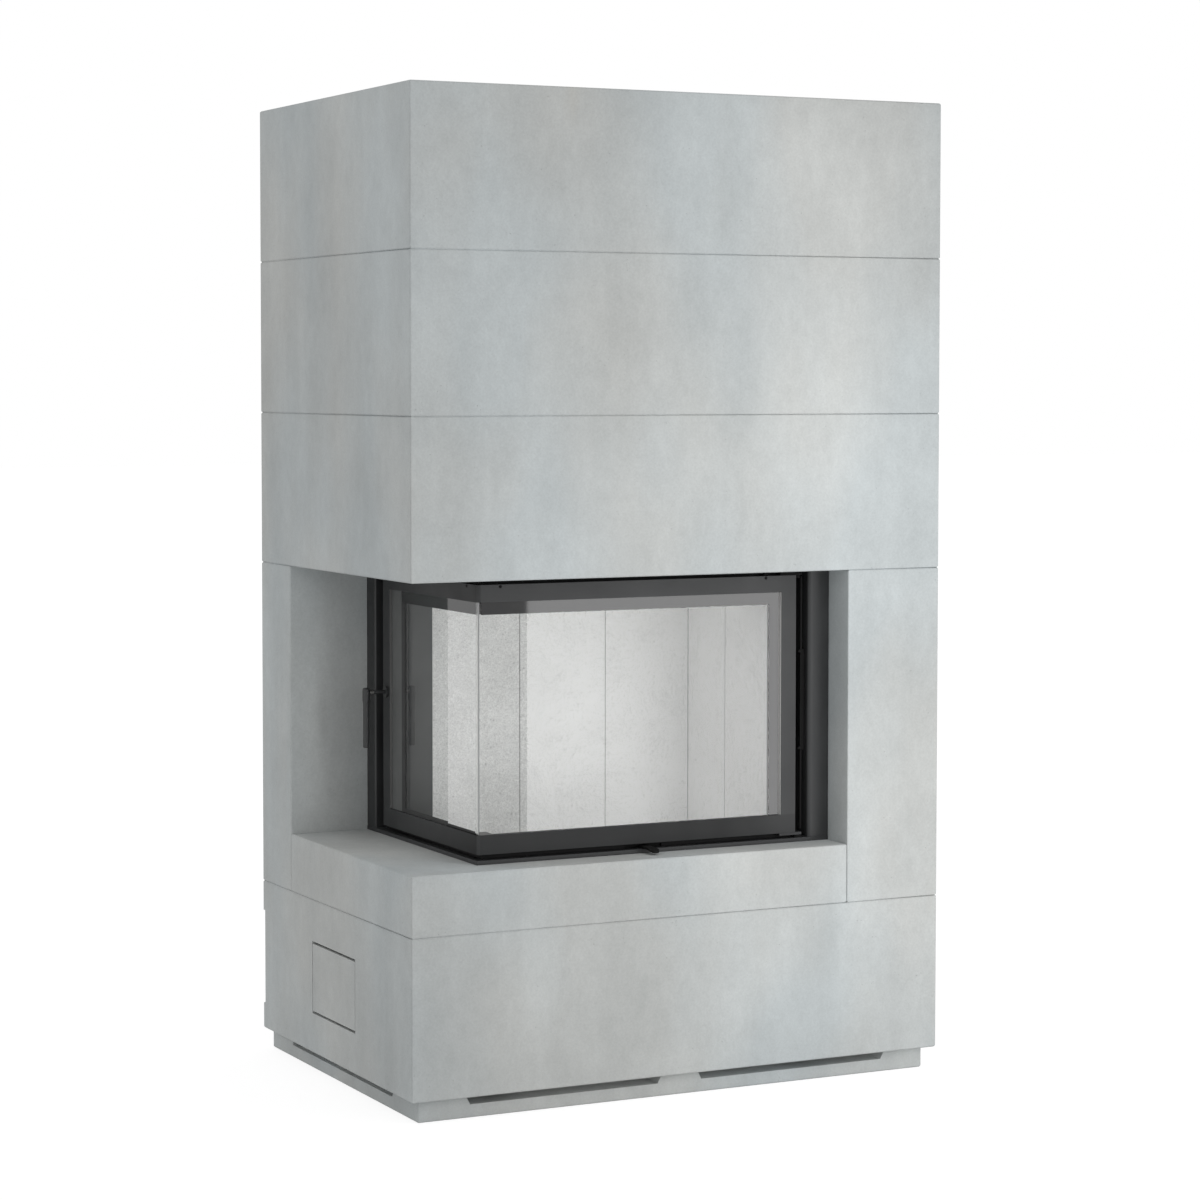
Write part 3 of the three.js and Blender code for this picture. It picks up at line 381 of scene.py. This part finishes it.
def firebox_lining():
    """Pale refractory board: soft mottles, a fine grain and sparse dark specks of mineral."""
    g = Graph("firebox_lining")
    cloud = g.noise(5, detail=3)
    tone = g.mix(g.span(cloud, (0.35, 0.65), (0, 1)), (0.800, 0.800, 0.790), (0.850, 0.850, 0.842))
    mottle = g.noise(17, detail=4, roughness=0.6)
    patches = g.noise(75, detail=3, roughness=0.7)
    grain = g.noise(150, detail=2, roughness=0.8)
    fine = g.noise(300, detail=2, roughness=0.7)
    flecks = g.span(g.cells(120), (0.14, 0.36), (1, 0))
    chosen = g.span(g.noise(45, place=g.stretched((1, 1, 1), (4, 2, 8))), (0.50, 0.64), (0, 1))
    shade = g.product(
        g.vary(fine, 0.90, 1.09),
        g.vary(grain, 0.92, 1.075),
        g.vary(patches, 0.945, 1.05),
        g.vary(mottle, 0.955, 1.04),
        g.span(g.product(flecks, chosen), (0, 1), (1, 0.80)),
    )
    return g.finish(g.principled({
        "Base Color": g.scaled(tone, shade),
        "Roughness": 0.92,
        "Specular IOR Level": 0.25,
        "Normal": g.bump(mottle, 0.0003),
    }))


GLASS_IOR = 1.5


def door_glass():
    """Thin clear pane: what is behind it shows straight through, and its near face mirrors the room."""
    g = Graph("door_glass")
    clear = g.add("ShaderNodeBsdfTransparent")
    haze = g.vary(g.noise(6), 0, 1)
    g.put(clear.inputs["Color"], g.mix(haze, (0.995, 0.998, 0.996), (0.982, 0.986, 0.984)))
    mirror = g.add("ShaderNodeBsdfGlossy")
    g.fill(mirror, {"Color": as_colour((1, 1, 1)), "Roughness": 0.0})
    fresnel = g.add("ShaderNodeFresnel")
    fresnel.inputs["IOR"].default_value = GLASS_IOR
    from_outside = g.calc("SUBTRACT", 1.0, g.add("ShaderNodeNewGeometry").outputs["Backfacing"])
    share = g.product(fresnel.outputs["Fac"], from_outside)
    return g.finish(g.blended(share, clear, mirror))


def glass_print(name, low, high, roughness, shine=0.5):
    """Enamel fired on the panes, glossy or dull, with faint cloudiness."""
    g = Graph(name)
    cloud = g.noise(30, detail=3)
    return g.finish(g.principled({
        "Base Color": g.mix(g.vary(cloud, 0, 1), low, high),
        "Roughness": roughness,
        "IOR": GLASS_IOR,
        "Specular IOR Level": shine,
    }))


def edge_highlight_glass():
    """A pale, partly clear strip, a painted highlight of the glass edge: lets part of what is behind it
    through.
    """
    g = Graph("edge_highlight_glass")
    speckle = g.noise(700, detail=2)
    clear = g.add("ShaderNodeBsdfTransparent")
    white = g.add("ShaderNodeBsdfDiffuse")
    g.put(white.inputs["Color"], g.mix(speckle, (0.78, 0.80, 0.79), (0.92, 0.93, 0.92)))
    return g.finish(g.blended(g.vary(speckle, 0.30, 0.40), clear, white))


def fibre_tape(name, low, high):
    """Flat fibre tape between steel and glass."""
    g = Graph(name)
    weave = g.stripes(900)
    return g.finish(g.principled({
        "Base Color": g.mix(weave, low, high),
        "Roughness": 0.9,
        "Specular IOR Level": 0.2,
        "Normal": g.bump(weave, 0.0001),
    }))


def joint_cement():
    """Gritty grey cement in the lining's joints."""
    g = Graph("joint_cement")
    grit = g.noise(500, detail=3)
    return g.finish(g.principled({
        "Base Color": g.mix(grit, (0.30, 0.30, 0.295), (0.48, 0.48, 0.47)),
        "Roughness": 0.95,
        "Normal": g.bump(grit, 0.0002),
    }))


def silicone():
    """Grey bead of sealant."""
    g = Graph("silicone")
    ripple = g.noise(80, detail=2)
    return g.finish(g.principled({
        "Base Color": g.mix(ripple, (0.28, 0.28, 0.285), (0.36, 0.36, 0.365)),
        "Roughness": 0.5,
        "Normal": g.bump(ripple, 0.0001),
    }))


def rope_gasket():
    """Woven glass-fibre rope, flattened in its groove."""
    g = Graph("rope_gasket")
    weave = g.product(g.stripes(420), g.stripes(420, g.stretched((-1, -1, 1))))
    return g.finish(g.principled({
        "Base Color": g.mix(weave, (0.035, 0.035, 0.034), (0.12, 0.12, 0.115)),
        "Roughness": 0.95,
        "Sheen Weight": 0.2,
        "Normal": g.bump(weave, 0.0005),
    }))


MATERIALS = {
    "cast_stone": cast_stone(),
    "black_steel": black_paint("black_steel", (0.026, 0.027, 0.028), 0.45, 0.00002),
    "door_paint": door_paint(),
    "frame_paint": frame_paint(),
    # Painted shade: near-black, nearly matt paint for small parts in the gaps round the door, under the
    # head and at the hinge, darker than their steel
    "shade_black_steel": black_paint("shade_black_steel", (0.012, 0.012, 0.012), 0.85, 0.00004, 0.1),
    "post_steel": black_paint("post_steel", (0.042, 0.043, 0.043), 0.42, 0.00002),
    "casing_steel": black_paint("casing_steel", (0.042, 0.043, 0.045), 0.62, 0.00006),
    "galvanised_steel": galvanised_steel(),
    "bright_steel": turned_metal("bright_steel", (0.476, 0.4675, 0.4505), (0.56, 0.55, 0.53)),
    "cast_iron": cast_iron(),
    "firebox_lining": firebox_lining(),
    "door_glass": door_glass(),
    "black_print": glass_print("black_print", (0.015, 0.015, 0.016), (0.020, 0.020, 0.020), 0.03),
    "dull_print": glass_print("dull_print", (0.047, 0.048, 0.048), (0.056, 0.057, 0.056), 0.6, 0.2),
    "grey_print": glass_print("grey_print", (0.112, 0.116, 0.114), (0.124, 0.128, 0.126), 0.5, 0.2),
    "edge_highlight_glass": edge_highlight_glass(),
    "grey_tape": fibre_tape("grey_tape", (0.14, 0.14, 0.14), (0.22, 0.22, 0.215)),
    "light_painted_pale_tape": fibre_tape("light_painted_pale_tape", (0.21, 0.21, 0.21), (0.33, 0.33, 0.325)),
    "light_painted_white_tape": fibre_tape("light_painted_white_tape", (0.50, 0.50, 0.49), (0.60, 0.60, 0.59)),
    "silicone": silicone(),
    "joint_cement": joint_cement(),
    "rope_gasket": rope_gasket(),
}


# Edges of the CAD parts

WELD_DISTANCE = 1e-5
ROUND_BEND = 50
CRISP_BEND = 31
BEVEL_BEND = 40


def smoothing_group(angle):
    """Joins a part's loose triangles and shades its edges smooth where they bend less than the angle."""
    tree = bpy.data.node_groups.new("smoothing", "GeometryNodeTree")
    for side in ("INPUT", "OUTPUT"):
        tree.interface.new_socket("Geometry", in_out=side, socket_type="NodeSocketGeometry")
    start = tree.nodes.new("NodeGroupInput")
    end = tree.nodes.new("NodeGroupOutput")
    weld = tree.nodes.new("GeometryNodeMergeByDistance")
    weld.inputs["Distance"].default_value = WELD_DISTANCE
    faces = tree.nodes.new("GeometryNodeSetShadeSmooth")
    edges = tree.nodes.new("GeometryNodeSetShadeSmooth")
    edges.domain = "EDGE"
    bend = tree.nodes.new("GeometryNodeInputMeshEdgeAngle")
    test = tree.nodes.new("FunctionNodeCompare")
    test.operation = "LESS_THAN"
    test.inputs["B"].default_value = math.radians(angle)
    link = tree.links.new
    link(start.outputs[0], weld.inputs["Geometry"])
    link(weld.outputs[0], faces.inputs["Geometry"])
    link(faces.outputs[0], edges.inputs["Geometry"])
    link(bend.outputs["Unsigned Angle"], test.inputs["A"])
    link(test.outputs[0], edges.inputs["Shade Smooth"])
    link(edges.outputs[0], end.inputs[0])
    return tree


ROUND_EDGES = smoothing_group(ROUND_BEND)
CRISP_EDGES = smoothing_group(CRISP_BEND)

# Bevel widths of the parts whose edges catch the light
EDGE_WIDTHS = {
    "door_frame": 0.0008,
    "hearth_tray": 0.0008,
    "face_frame": 0.0006,
    "right_trim": 0.0005,
    "left_trim": 0.0005,
    "handle_hub": 0.0012,
    "air_lever": 0.0008,
    "hinge_leaf_lower": 0.0006,
    "hinge_leaf_upper": 0.0006,
    "door_buffer_1": 0.0008,
    "door_buffer_2": 0.0008,
    "door_buffer_3": 0.0008,
    "fire_grate": 0.0012,
    "hatch_cover": 0.0012,
}


def dress(name, slot):
    """Gives a CAD part its material, smooth shading and softened edges."""
    part = nodes[name]
    normals = part.data.attributes.get("custom_normal")
    if normals:
        part.data.attributes.remove(normals)
    part.material_slots[0].material = MATERIALS[slot]
    smoothing = part.modifiers.new("smoothing", "NODES")
    smoothing.node_group = ROUND_EDGES if slot == "cast_stone" else CRISP_EDGES
    if name in EDGE_WIDTHS:
        bevel = part.modifiers.new("edges", "BEVEL")
        bevel.width = EDGE_WIDTHS[name]
        bevel.segments = 2
        bevel.limit_method = "ANGLE"
        bevel.angle_limit = math.radians(BEVEL_BEND)
        bevel.harden_normals = True
    if slot == "cast_stone":
        part.modifiers.new("weighted", "WEIGHTED_NORMAL").keep_sharp = True


for row in frame["record"]["subparts"]:
    dress(row["node"], row["material_slot"])

# Parts whose paint differs from that of their slot in the record
REPAINTED = {
    # these parts get the near-black paint that stands in for the shade in the gaps
    "shade_black_steel": (
        "head_frame", "air_lever", "air_register", "hinge_guard_strip", "hinge_bush",
        "hinge_leaf_upper", "hinge_pin_lower", "hinge_pin_upper",
        "door_buffer_1", "door_buffer_2", "door_buffer_3",
    ),
    "post_steel": ("corner_post",),
    "casing_steel": ("hinge_leaf_lower",),
    "door_paint": ("door_frame",),
    "frame_paint": ("face_frame",),
}

for paint, names in REPAINTED.items():
    for name in names:
        nodes[name].material_slots[0].material = MATERIALS[paint]


# Small pieces on the door and the insert

# Bevel widths of the small pieces
TAPE_EDGE = 0.0001
SHEET_EDGE = 0.0002
WASHER_EDGE = 0.0003
CLIP_EDGE = 0.0004
BOLT_EDGE = 0.0006
NUT_EDGE = 0.0007
SCREW_EDGE = 0.0009


def plate_piece(name, outlines, axis, span, material, body, edge=0.0):
    """Flat outlines carried along an axis from one depth to another, as one mesh, with softened edges when
    given an edge width.
    """
    shape = bmesh.new()
    for points in outlines:
        ends = [[shape.verts.new(placed(point, axis, depth)) for point in points] for depth in span]
        shape.faces.new(ends[0])
        shape.faces.new(reversed(ends[1]))
        for index in range(len(points)):
            after = (index + 1) % len(points)
            shape.faces.new((ends[0][index], ends[1][index], ends[1][after], ends[0][after]))
    bmesh.ops.recalc_face_normals(shape, faces=shape.faces)
    mesh = bpy.data.meshes.new(name)
    shape.to_mesh(mesh)
    shape.free()
    mesh.materials.append(material)
    piece = bpy.data.objects.new(name, mesh)
    bpy.context.scene.collection.objects.link(piece)
    if edge > 0:
        bevel = piece.modifiers.new("edges", "BEVEL")
        bevel.width = edge
        bevel.segments = 2
    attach(piece, body)
    return piece


def placed(point, axis, depth):
    """A flat point and its depth along an axis, as a place in space."""
    place = list(point)
    place.insert("XYZ".index(axis), depth)
    return place


def corner_band(ends, levels, width, level_width):
    """An upside-down L: a band down the far end and a band along the top."""
    start, end = ends
    low, high = levels
    return [
        (start, high),
        (start, high - level_width),
        (end - width, high - level_width),
        (end - width, low),
        (end, low),
        (end, high),
    ]


def rectangle(first, second):
    return [(first[0], second[0]), (first[1], second[0]), (first[1], second[1]), (first[0], second[1])]


front_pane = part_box("front_glass")
side_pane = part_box("side_glass")
door_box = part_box("door_frame")

# The levels of the door frame's opening
OPENING_Z = (0.5100, 0.9415)

# The print on the panes: how wide it is along their edges, where it starts at the corner, and its thickness
PRINT_TOP = 0.0330
PRINT_RIGHT = 0.0337
PRINT_REAR = 0.0570
PRINT_RIM = 0.0170
PRINT_FRONT_START = 0.005
PRINT_SIDE_START = 0.002
PRINT_SHEET = 0.00015

# The dull print along the side pane's foot, whose top edge steps down towards the corner
FOOT_STEP = -0.158
FOOT_REAR_TOP = 0.5185
FOOT_FRONT_TOP = 0.5150
FOOT_INSET = 0.010


def add_front_print():
    """The glossy enamel along the front pane's top and right edges."""
    face = front_pane[0][1]
    ends = (front_pane[0][0] + PRINT_FRONT_START, front_pane[1][0])
    levels = (front_pane[0][2], front_pane[1][2])
    band = corner_band(ends, levels, PRINT_RIGHT, PRINT_TOP)
    y = (face - PRINT_SHEET, face)
    plate_piece("front_glass_print", [band], "Y", y, MATERIALS["black_print"], "door")


def add_side_print():
    """The side pane's enamel: glossy along the top, grey at the rear, dull beside that and at the foot."""
    face = side_pane[0][0]
    ends = (side_pane[0][1] + PRINT_SIDE_START, side_pane[1][1])
    levels = (side_pane[0][2], side_pane[1][2])
    x = (face - PRINT_SHEET, face)
    inner = ends[1] - PRINT_REAR
    rim = inner - PRINT_RIM
    under = levels[1] - PRINT_TOP
    top = rectangle((ends[0], inner), (under, levels[1]))
    plate_piece("side_glass_print", [top], "X", x, MATERIALS["black_print"], "door")
    rear = rectangle((inner, ends[1]), levels)
    plate_piece("side_glass_band", [rear], "X", x, MATERIALS["grey_print"], "door")
    foot = [
        (ends[0] + FOOT_INSET, levels[0]),
        (inner, levels[0]),
        (inner, under),
        (rim, under),
        (rim, FOOT_REAR_TOP),
        (FOOT_STEP, FOOT_REAR_TOP),
        (FOOT_STEP, FOOT_FRONT_TOP),
        (ends[0] + FOOT_INSET, FOOT_FRONT_TOP),
    ]
    plate_piece("side_glass_foot_print", [foot], "X", x, MATERIALS["dull_print"], "door")


EDGE_STRIP = 0.0005
EDGE_WIDTH = 0.0080
JOINT_WIDTH = 0.0024
JOINT_ON_FRONT = 0.0010


def add_corner_edge():
    """The pale strip that paints the glass edge's highlight, and the bead of sealant where the two panes
    meet.
    """
    face = front_pane[0][0]
    front = front_pane[0][1]
    x = (face - EDGE_STRIP, face)
    strip = rectangle((front + JOINT_WIDTH, front + JOINT_WIDTH + EDGE_WIDTH), OPENING_Z)
    edge_highlight = MATERIALS["edge_highlight_glass"]
    plate_piece("glass_corner_edge", [strip], "X", x, edge_highlight, "door", TAPE_EDGE)
    seal = [
        (face - EDGE_STRIP, front - EDGE_STRIP),
        (face + JOINT_ON_FRONT, front - EDGE_STRIP),
        (face + JOINT_ON_FRONT, front),
        (face, front),
        (face, front + JOINT_WIDTH),
        (face - EDGE_STRIP, front + JOINT_WIDTH),
    ]
    bead = MATERIALS["silicone"]
    plate_piece("glass_corner_seal", [seal], "Z", OPENING_Z, bead, "door", TAPE_EDGE)


TAPE = 0.0006
TAPE_ON_PANE = 0.0036
TAPE_CLEARANCE = 0.0002
SEAT_START = 0.001
STILE = 0.033


def add_side_tape():
    """The grey tape behind the side pane's opening, painted light on a lip wall in shade, and the
    near-black seat under it near the corner, a painted shadow line.
    """
    x = (door_box[0][0] + TAPE_CLEARANCE, side_pane[0][0] - TAPE_CLEARANCE)
    rear = door_box[1][1] - STILE
    low, high = OPENING_Z
    upright = rectangle((rear - TAPE, rear), (low + TAPE, high))
    # painted light: the grey tape lightens the lip wall, which lies in shade
    tape = MATERIALS["grey_tape"]
    plate_piece("side_glass_tape", [upright], "X", x, tape, "door", TAPE_EDGE)
    along = rectangle((front_pane[0][1] + SEAT_START, FOOT_STEP), (low, low + TAPE))
    # painted shadow: a near-black strip along the ledge near the corner
    seat = MATERIALS["shade_black_steel"]
    plate_piece("side_glass_seat", [along], "X", x, seat, "door", TAPE_EDGE)


def add_front_tape():
    """The white tape right of the front pane's opening and its pale flat edge on the pane: painted light on
    the lip wall and pane edge, which lie in shade.
    """
    inner = door_box[1][0] - STILE
    face = front_pane[0][1]
    y = (door_box[0][1] + TAPE_CLEARANCE, face - TAPE_CLEARANCE)
    strip = rectangle((inner - TAPE, inner), OPENING_Z)
    # painted light: white tape on the lip wall, which lies in shade
    white = MATERIALS["light_painted_white_tape"]
    plate_piece("front_glass_tape", [strip], "Y", y, white, "door", TAPE_EDGE)
    flat = rectangle((inner - TAPE_ON_PANE, inner - TAPE), OPENING_Z)
    y = (face - TAPE, face - PRINT_SHEET)
    # painted light: a pale strip on the pane beside the stile, where shade falls
    pale = MATERIALS["light_painted_pale_tape"]
    plate_piece("front_glass_bed", [flat], "Y", y, pale, "door", TAPE_EDGE)


GUSSET_START = 0.0004
GUSSET_RUN = 0.030
GUSSET_TOP_RUN = 0.0135
GUSSET_RISE = 0.006
GUSSET_OFF_PANE = (0.0030, 0.0006)


def add_gusset():
    """A small sheet corner with a slanted end on the bottom rail, in the front opening."""
    x = front_pane[0][0] + GUSSET_START
    low = OPENING_Z[0]
    corner = [
        (x, low),
        (x + GUSSET_RUN, low),
        (x + GUSSET_TOP_RUN, low + GUSSET_RISE),
        (x, low + GUSSET_RISE),
    ]
    y = tuple(front_pane[0][1] - gap for gap in GUSSET_OFF_PANE)
    sheet = MATERIALS["grey_tape"]
    plate_piece("glass_corner_gusset", [corner], "Y", y, sheet, "door", SHEET_EDGE)


CORNER_JOINT = 0.0016
SIDE_JOINT = 0.0020
SIDE_JOINT_PROUD = 0.0002


def add_lining_joints():
    """The cement joints in the corner of the lining and between its two right panels."""
    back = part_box("back_panel_right")
    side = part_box("right_panel_rear")
    corner = (side[0][0], back[0][1])
    cement = MATERIALS["joint_cement"]
    joint = [
        corner,
        (corner[0] - CORNER_JOINT, corner[1]),
        (corner[0], corner[1] - CORNER_JOINT),
    ]
    z = (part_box("floor_panel_right")[1][2], back[1][2])
    plate_piece("lining_corner_joint", [joint], "Z", z, cement, "surround")
    y = (side[0][1] - SIDE_JOINT / 2, side[0][1] + SIDE_JOINT / 2)
    strip = rectangle((side[0][0] - SIDE_JOINT_PROUD, side[0][0]), y)
    plate_piece("lining_side_joint", [strip], "Z", z, cement, "surround")


GAP_SHADE_X = (0.3010, 0.3048)
GAP_SHADE_SHEET = 0.0015
GAP_SHADE_MARGIN = 0.004


def add_hinge_gap_shade():
    """A narrow steel strip on the face frame, in the gap between the door and the right trim, painted
    near-black as painted shade.
    """
    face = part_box("face_frame")[0][1]
    z = (door_box[0][2] + GAP_SHADE_MARGIN, door_box[1][2] - GAP_SHADE_MARGIN)
    strip = rectangle(GAP_SHADE_X, (face - GAP_SHADE_SHEET, face))
    paint = MATERIALS["shade_black_steel"]
    plate_piece("hinge_gap_shade", [strip], "Z", z, paint, "surround", SHEET_EDGE)


CLIP_X = (0.2940, 0.3030)
CLIP_HEIGHT = 0.0070
CLIP_LIP = 0.0030
CLIP_SHEET = 0.0040


def add_guard_clips():
    """The two bent clips at the ends of the guard strip."""
    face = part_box("face_frame")[0][1]
    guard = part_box("hinge_guard_strip")
    clips = []
    for level in (guard[0][2], guard[1][2] - CLIP_HEIGHT):
        clips.append([
            (CLIP_X[0], level + CLIP_LIP),
            (CLIP_X[1], level),
            (CLIP_X[1], level + CLIP_HEIGHT),
            (CLIP_X[0] + CLIP_LIP, level + CLIP_HEIGHT),
        ])
    y = (face - CLIP_SHEET, face)
    # the clips take the near-black paint used as painted shade
    paint = MATERIALS["shade_black_steel"]
    plate_piece("guard_clips", clips, "Y", y, paint, "surround", CLIP_EDGE)


# Plugs, bolts, screws and nuts

HEX_SIDES = 6
ROUND_SIDES = 20


def polygon(centre, radius, sides):
    turns = [2 * math.pi * index / sides for index in range(sides)]
    across, along = centre
    return [(across + radius * math.cos(turn), along + radius * math.sin(turn)) for turn in turns]


def middle(box, side):
    """The middle of a node's box along one side, 0 for X, 1 for Y."""
    return (box[0][side] + box[1][side]) / 2


def spaced(first, last, count):
    return [first + (last - first) * index / (count - 1) for index in range(count)]


PLUG_RADIUS = 0.0030
PLUG_PROUD = 0.0003
PLUG_BELOW_TOP = 0.0038
PLUG_FROM_CORNER = 0.047
PLUG_FROM_RIGHT = 0.067


def add_plugs():
    """Small round plugs near the top of the door's upper rails: two beside the corner, one at the right."""
    corner, far = door_box
    level = far[2] - PLUG_BELOW_TOP
    # the plugs take the near-black paint used as painted shade
    paint = MATERIALS["shade_black_steel"]
    front = [(corner[0] + PLUG_FROM_CORNER, level), (far[0] - PLUG_FROM_RIGHT, level)]
    discs = [polygon(place, PLUG_RADIUS, ROUND_SIDES) for place in front]
    y = (corner[1] - PLUG_PROUD, corner[1])
    plate_piece("front_rail_plugs", discs, "Y", y, paint, "door")
    side = polygon((corner[1] + PLUG_FROM_CORNER, level), PLUG_RADIUS, ROUND_SIDES)
    x = (corner[0] - PLUG_PROUD, corner[0])
    plate_piece("side_rail_plug", [side], "X", x, paint, "door")


COLLAR_BOLTS = 8
COLLAR_FLANGE = 0.0040
COLLAR_BOLT_INSET = 0.0150
WASHER_RADIUS = 0.0088
WASHER_SHEET = 0.0016
BOLT_RADIUS = 0.0072
BOLT_HEAD = 0.0053


def add_collar_bolts():
    """Hexagon bolts on washers round the flue collar's flange."""
    steel = MATERIALS["bright_steel"]
    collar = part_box("flue_collar")
    centre = (middle(collar, 0), middle(collar, 1))
    reach = collar[1][0] - centre[0] - COLLAR_BOLT_INSET
    places = polygon(centre, reach, COLLAR_BOLTS)
    base = collar[0][2] + COLLAR_FLANGE
    washers = [polygon(place, WASHER_RADIUS, ROUND_SIDES) for place in places]
    span = (base, base + WASHER_SHEET)
    plate_piece("collar_washers", washers, "Z", span, steel, "surround", WASHER_EDGE)
    heads = [polygon(place, BOLT_RADIUS, HEX_SIDES) for place in places]
    span = (base + WASHER_SHEET, base + WASHER_SHEET + BOLT_HEAD)
    plate_piece("collar_bolts", heads, "Z", span, steel, "surround", BOLT_EDGE)


SCREW_RADIUS = 0.0045
SCREW_HEAD = 0.0022
SCREW_INSET = 0.0160
SCREWS_UP = 5
SCREWS_ALONG = 6


def add_mantle_screws():
    """Round-headed screws along the edges of the mantle's rear sheet."""
    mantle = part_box("convection_mantle")
    x = (mantle[0][0] + SCREW_INSET, mantle[1][0] - SCREW_INSET)
    z = (mantle[0][2] + SCREW_INSET, mantle[1][2] - SCREW_INSET)
    places = [(side, level) for side in x for level in spaced(z[0], z[1], SCREWS_UP)]
    places += [(side, level) for level in z for side in spaced(x[0], x[1], SCREWS_ALONG)[1:-1]]
    heads = [polygon(place, SCREW_RADIUS, ROUND_SIDES) for place in places]
    span = (mantle[1][1], mantle[1][1] + SCREW_HEAD)
    steel = MATERIALS["bright_steel"]
    plate_piece("mantle_screws", heads, "Y", span, steel, "surround", SCREW_EDGE)


FOOT_COUNT = 4
NUT_RADIUS = 0.0110
NUT_HEIGHT = 0.0080


def add_foot_nuts():
    """A lock nut on each levelling foot, under the stand's foot plate."""
    feet = [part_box(f"levelling_foot_{index + 1}") for index in range(FOOT_COUNT)]
    nuts = [polygon((middle(foot, 0), middle(foot, 1)), NUT_RADIUS, HEX_SIDES) for foot in feet]
    top = feet[0][1][2]
    span = (top - NUT_HEIGHT, top)
    steel = MATERIALS["bright_steel"]
    plate_piece("foot_lock_nuts", nuts, "Z", span, steel, "surround", NUT_EDGE)


add_front_print()
add_side_print()
add_corner_edge()
add_hinge_gap_shade()
add_guard_clips()
add_plugs()
add_collar_bolts()
add_mantle_screws()
add_foot_nuts()
add_side_tape()
add_front_tape()
add_gusset()
add_lining_joints()


# Studio

WHITE = (1, 1, 1, 1)
WORLD_LIGHT = 0.72

# The floor's glow is what the camera and mirrors see of it, mixed with its lit colour
FLOOR_HALF = 40.0
FLOOR_DROP = 0.0005
FLOOR_COLOUR = (0.92, 0.92, 0.92, 1)
FLOOR_GLOW = 1.2
FLOOR_GLOW_SHARE = 0.7

# Softbox near the front, which mirrors don't show
SOFTBOX_RADIANCE = 3.12
SOFTBOX_X = (0.17, 0.47)
SOFTBOX_Z = (0.31, 1.71)
SOFTBOX_Y = -1.177

# Window whose mirror image lies across the door's glass
WINDOW_RADIANCE = 4.04
WINDOW_X = (0.7595, 1.6)
WINDOW_Z = (0.12, 0.85)
WINDOW_Y = -2.5


def make_world():
    """White to the camera and in mirrors, and a little less as light."""
    world = bpy.data.worlds.new("studio")
    bpy.context.scene.world = world
    world.use_nodes = True
    tree = world.node_tree
    tree.nodes.clear()
    path = tree.nodes.new("ShaderNodeLightPath")
    seen = path.outputs["Is Camera Ray"]
    for name in ("Is Glossy Ray", "Is Transmission Ray"):
        both = tree.nodes.new("ShaderNodeMath")
        both.operation = "MAXIMUM"
        tree.links.new(seen, both.inputs[0])
        tree.links.new(path.outputs[name], both.inputs[1])
        seen = both.outputs[0]
    blend = tree.nodes.new("ShaderNodeMixShader")
    tree.links.new(seen, blend.inputs[0])
    for index, strength in ((1, WORLD_LIGHT), (2, 1.0)):
        background = tree.nodes.new("ShaderNodeBackground")
        background.inputs["Color"].default_value = WHITE
        background.inputs["Strength"].default_value = strength
        tree.links.new(background.outputs[0], blend.inputs[index])
    output = tree.nodes.new("ShaderNodeOutputWorld")
    tree.links.new(blend.outputs[0], output.inputs["Surface"])


def make_floor():
    """Pale floor that goes to white in the camera and keeps a light shadow."""
    g = Graph("floor")
    diffuse = g.add("ShaderNodeBsdfDiffuse")
    diffuse.inputs["Color"].default_value = FLOOR_COLOUR
    glow = g.add("ShaderNodeEmission")
    glow.inputs["Strength"].default_value = FLOOR_GLOW
    path = g.add("ShaderNodeLightPath")
    seen = g.calc("MAXIMUM", path.outputs["Is Camera Ray"], path.outputs["Is Glossy Ray"])
    seen = g.calc("MAXIMUM", seen, path.outputs["Is Transmission Ray"])
    surface = g.blended(g.product(seen, FLOOR_GLOW_SHARE), diffuse, glow)
    reach = (-FLOOR_HALF, FLOOR_HALF)
    corners = [(x, y, 0) for x, y in rectangle(reach, reach)]
    mesh = bpy.data.meshes.new("floor")
    mesh.from_pydata(corners, [], [(0, 1, 2, 3)])
    mesh.materials.append(g.finish(surface))
    floor = bpy.data.objects.new("floor", mesh)
    floor.location.z = -FLOOR_DROP
    bpy.context.scene.collection.objects.link(floor)


def make_lamp(name, x, y, z, radiance):
    """An upright rectangle of light that faces the object's front."""
    data = bpy.data.lights.new(name, "AREA")
    data.shape = "RECTANGLE"
    data.size = x[1] - x[0]
    data.size_y = z[1] - z[0]
    data.energy = radiance * math.pi * data.size * data.size_y
    lamp = bpy.data.objects.new(name, data)
    lamp.location = (sum(x) / 2, y, sum(z) / 2)
    lamp.rotation_euler = (math.radians(90), 0, 0)
    lamp.visible_camera = False
    bpy.context.scene.collection.objects.link(lamp)
    return lamp


def make_lights():
    softbox = make_lamp("softbox", SOFTBOX_X, SOFTBOX_Y, SOFTBOX_Z, SOFTBOX_RADIANCE)
    softbox.visible_glossy = False
    make_lamp("window", WINDOW_X, WINDOW_Y, WINDOW_Z, WINDOW_RADIANCE)


make_camera()
make_world()
make_floor()
make_lights()

bpy.context.scene.view_settings.view_transform = "Standard"
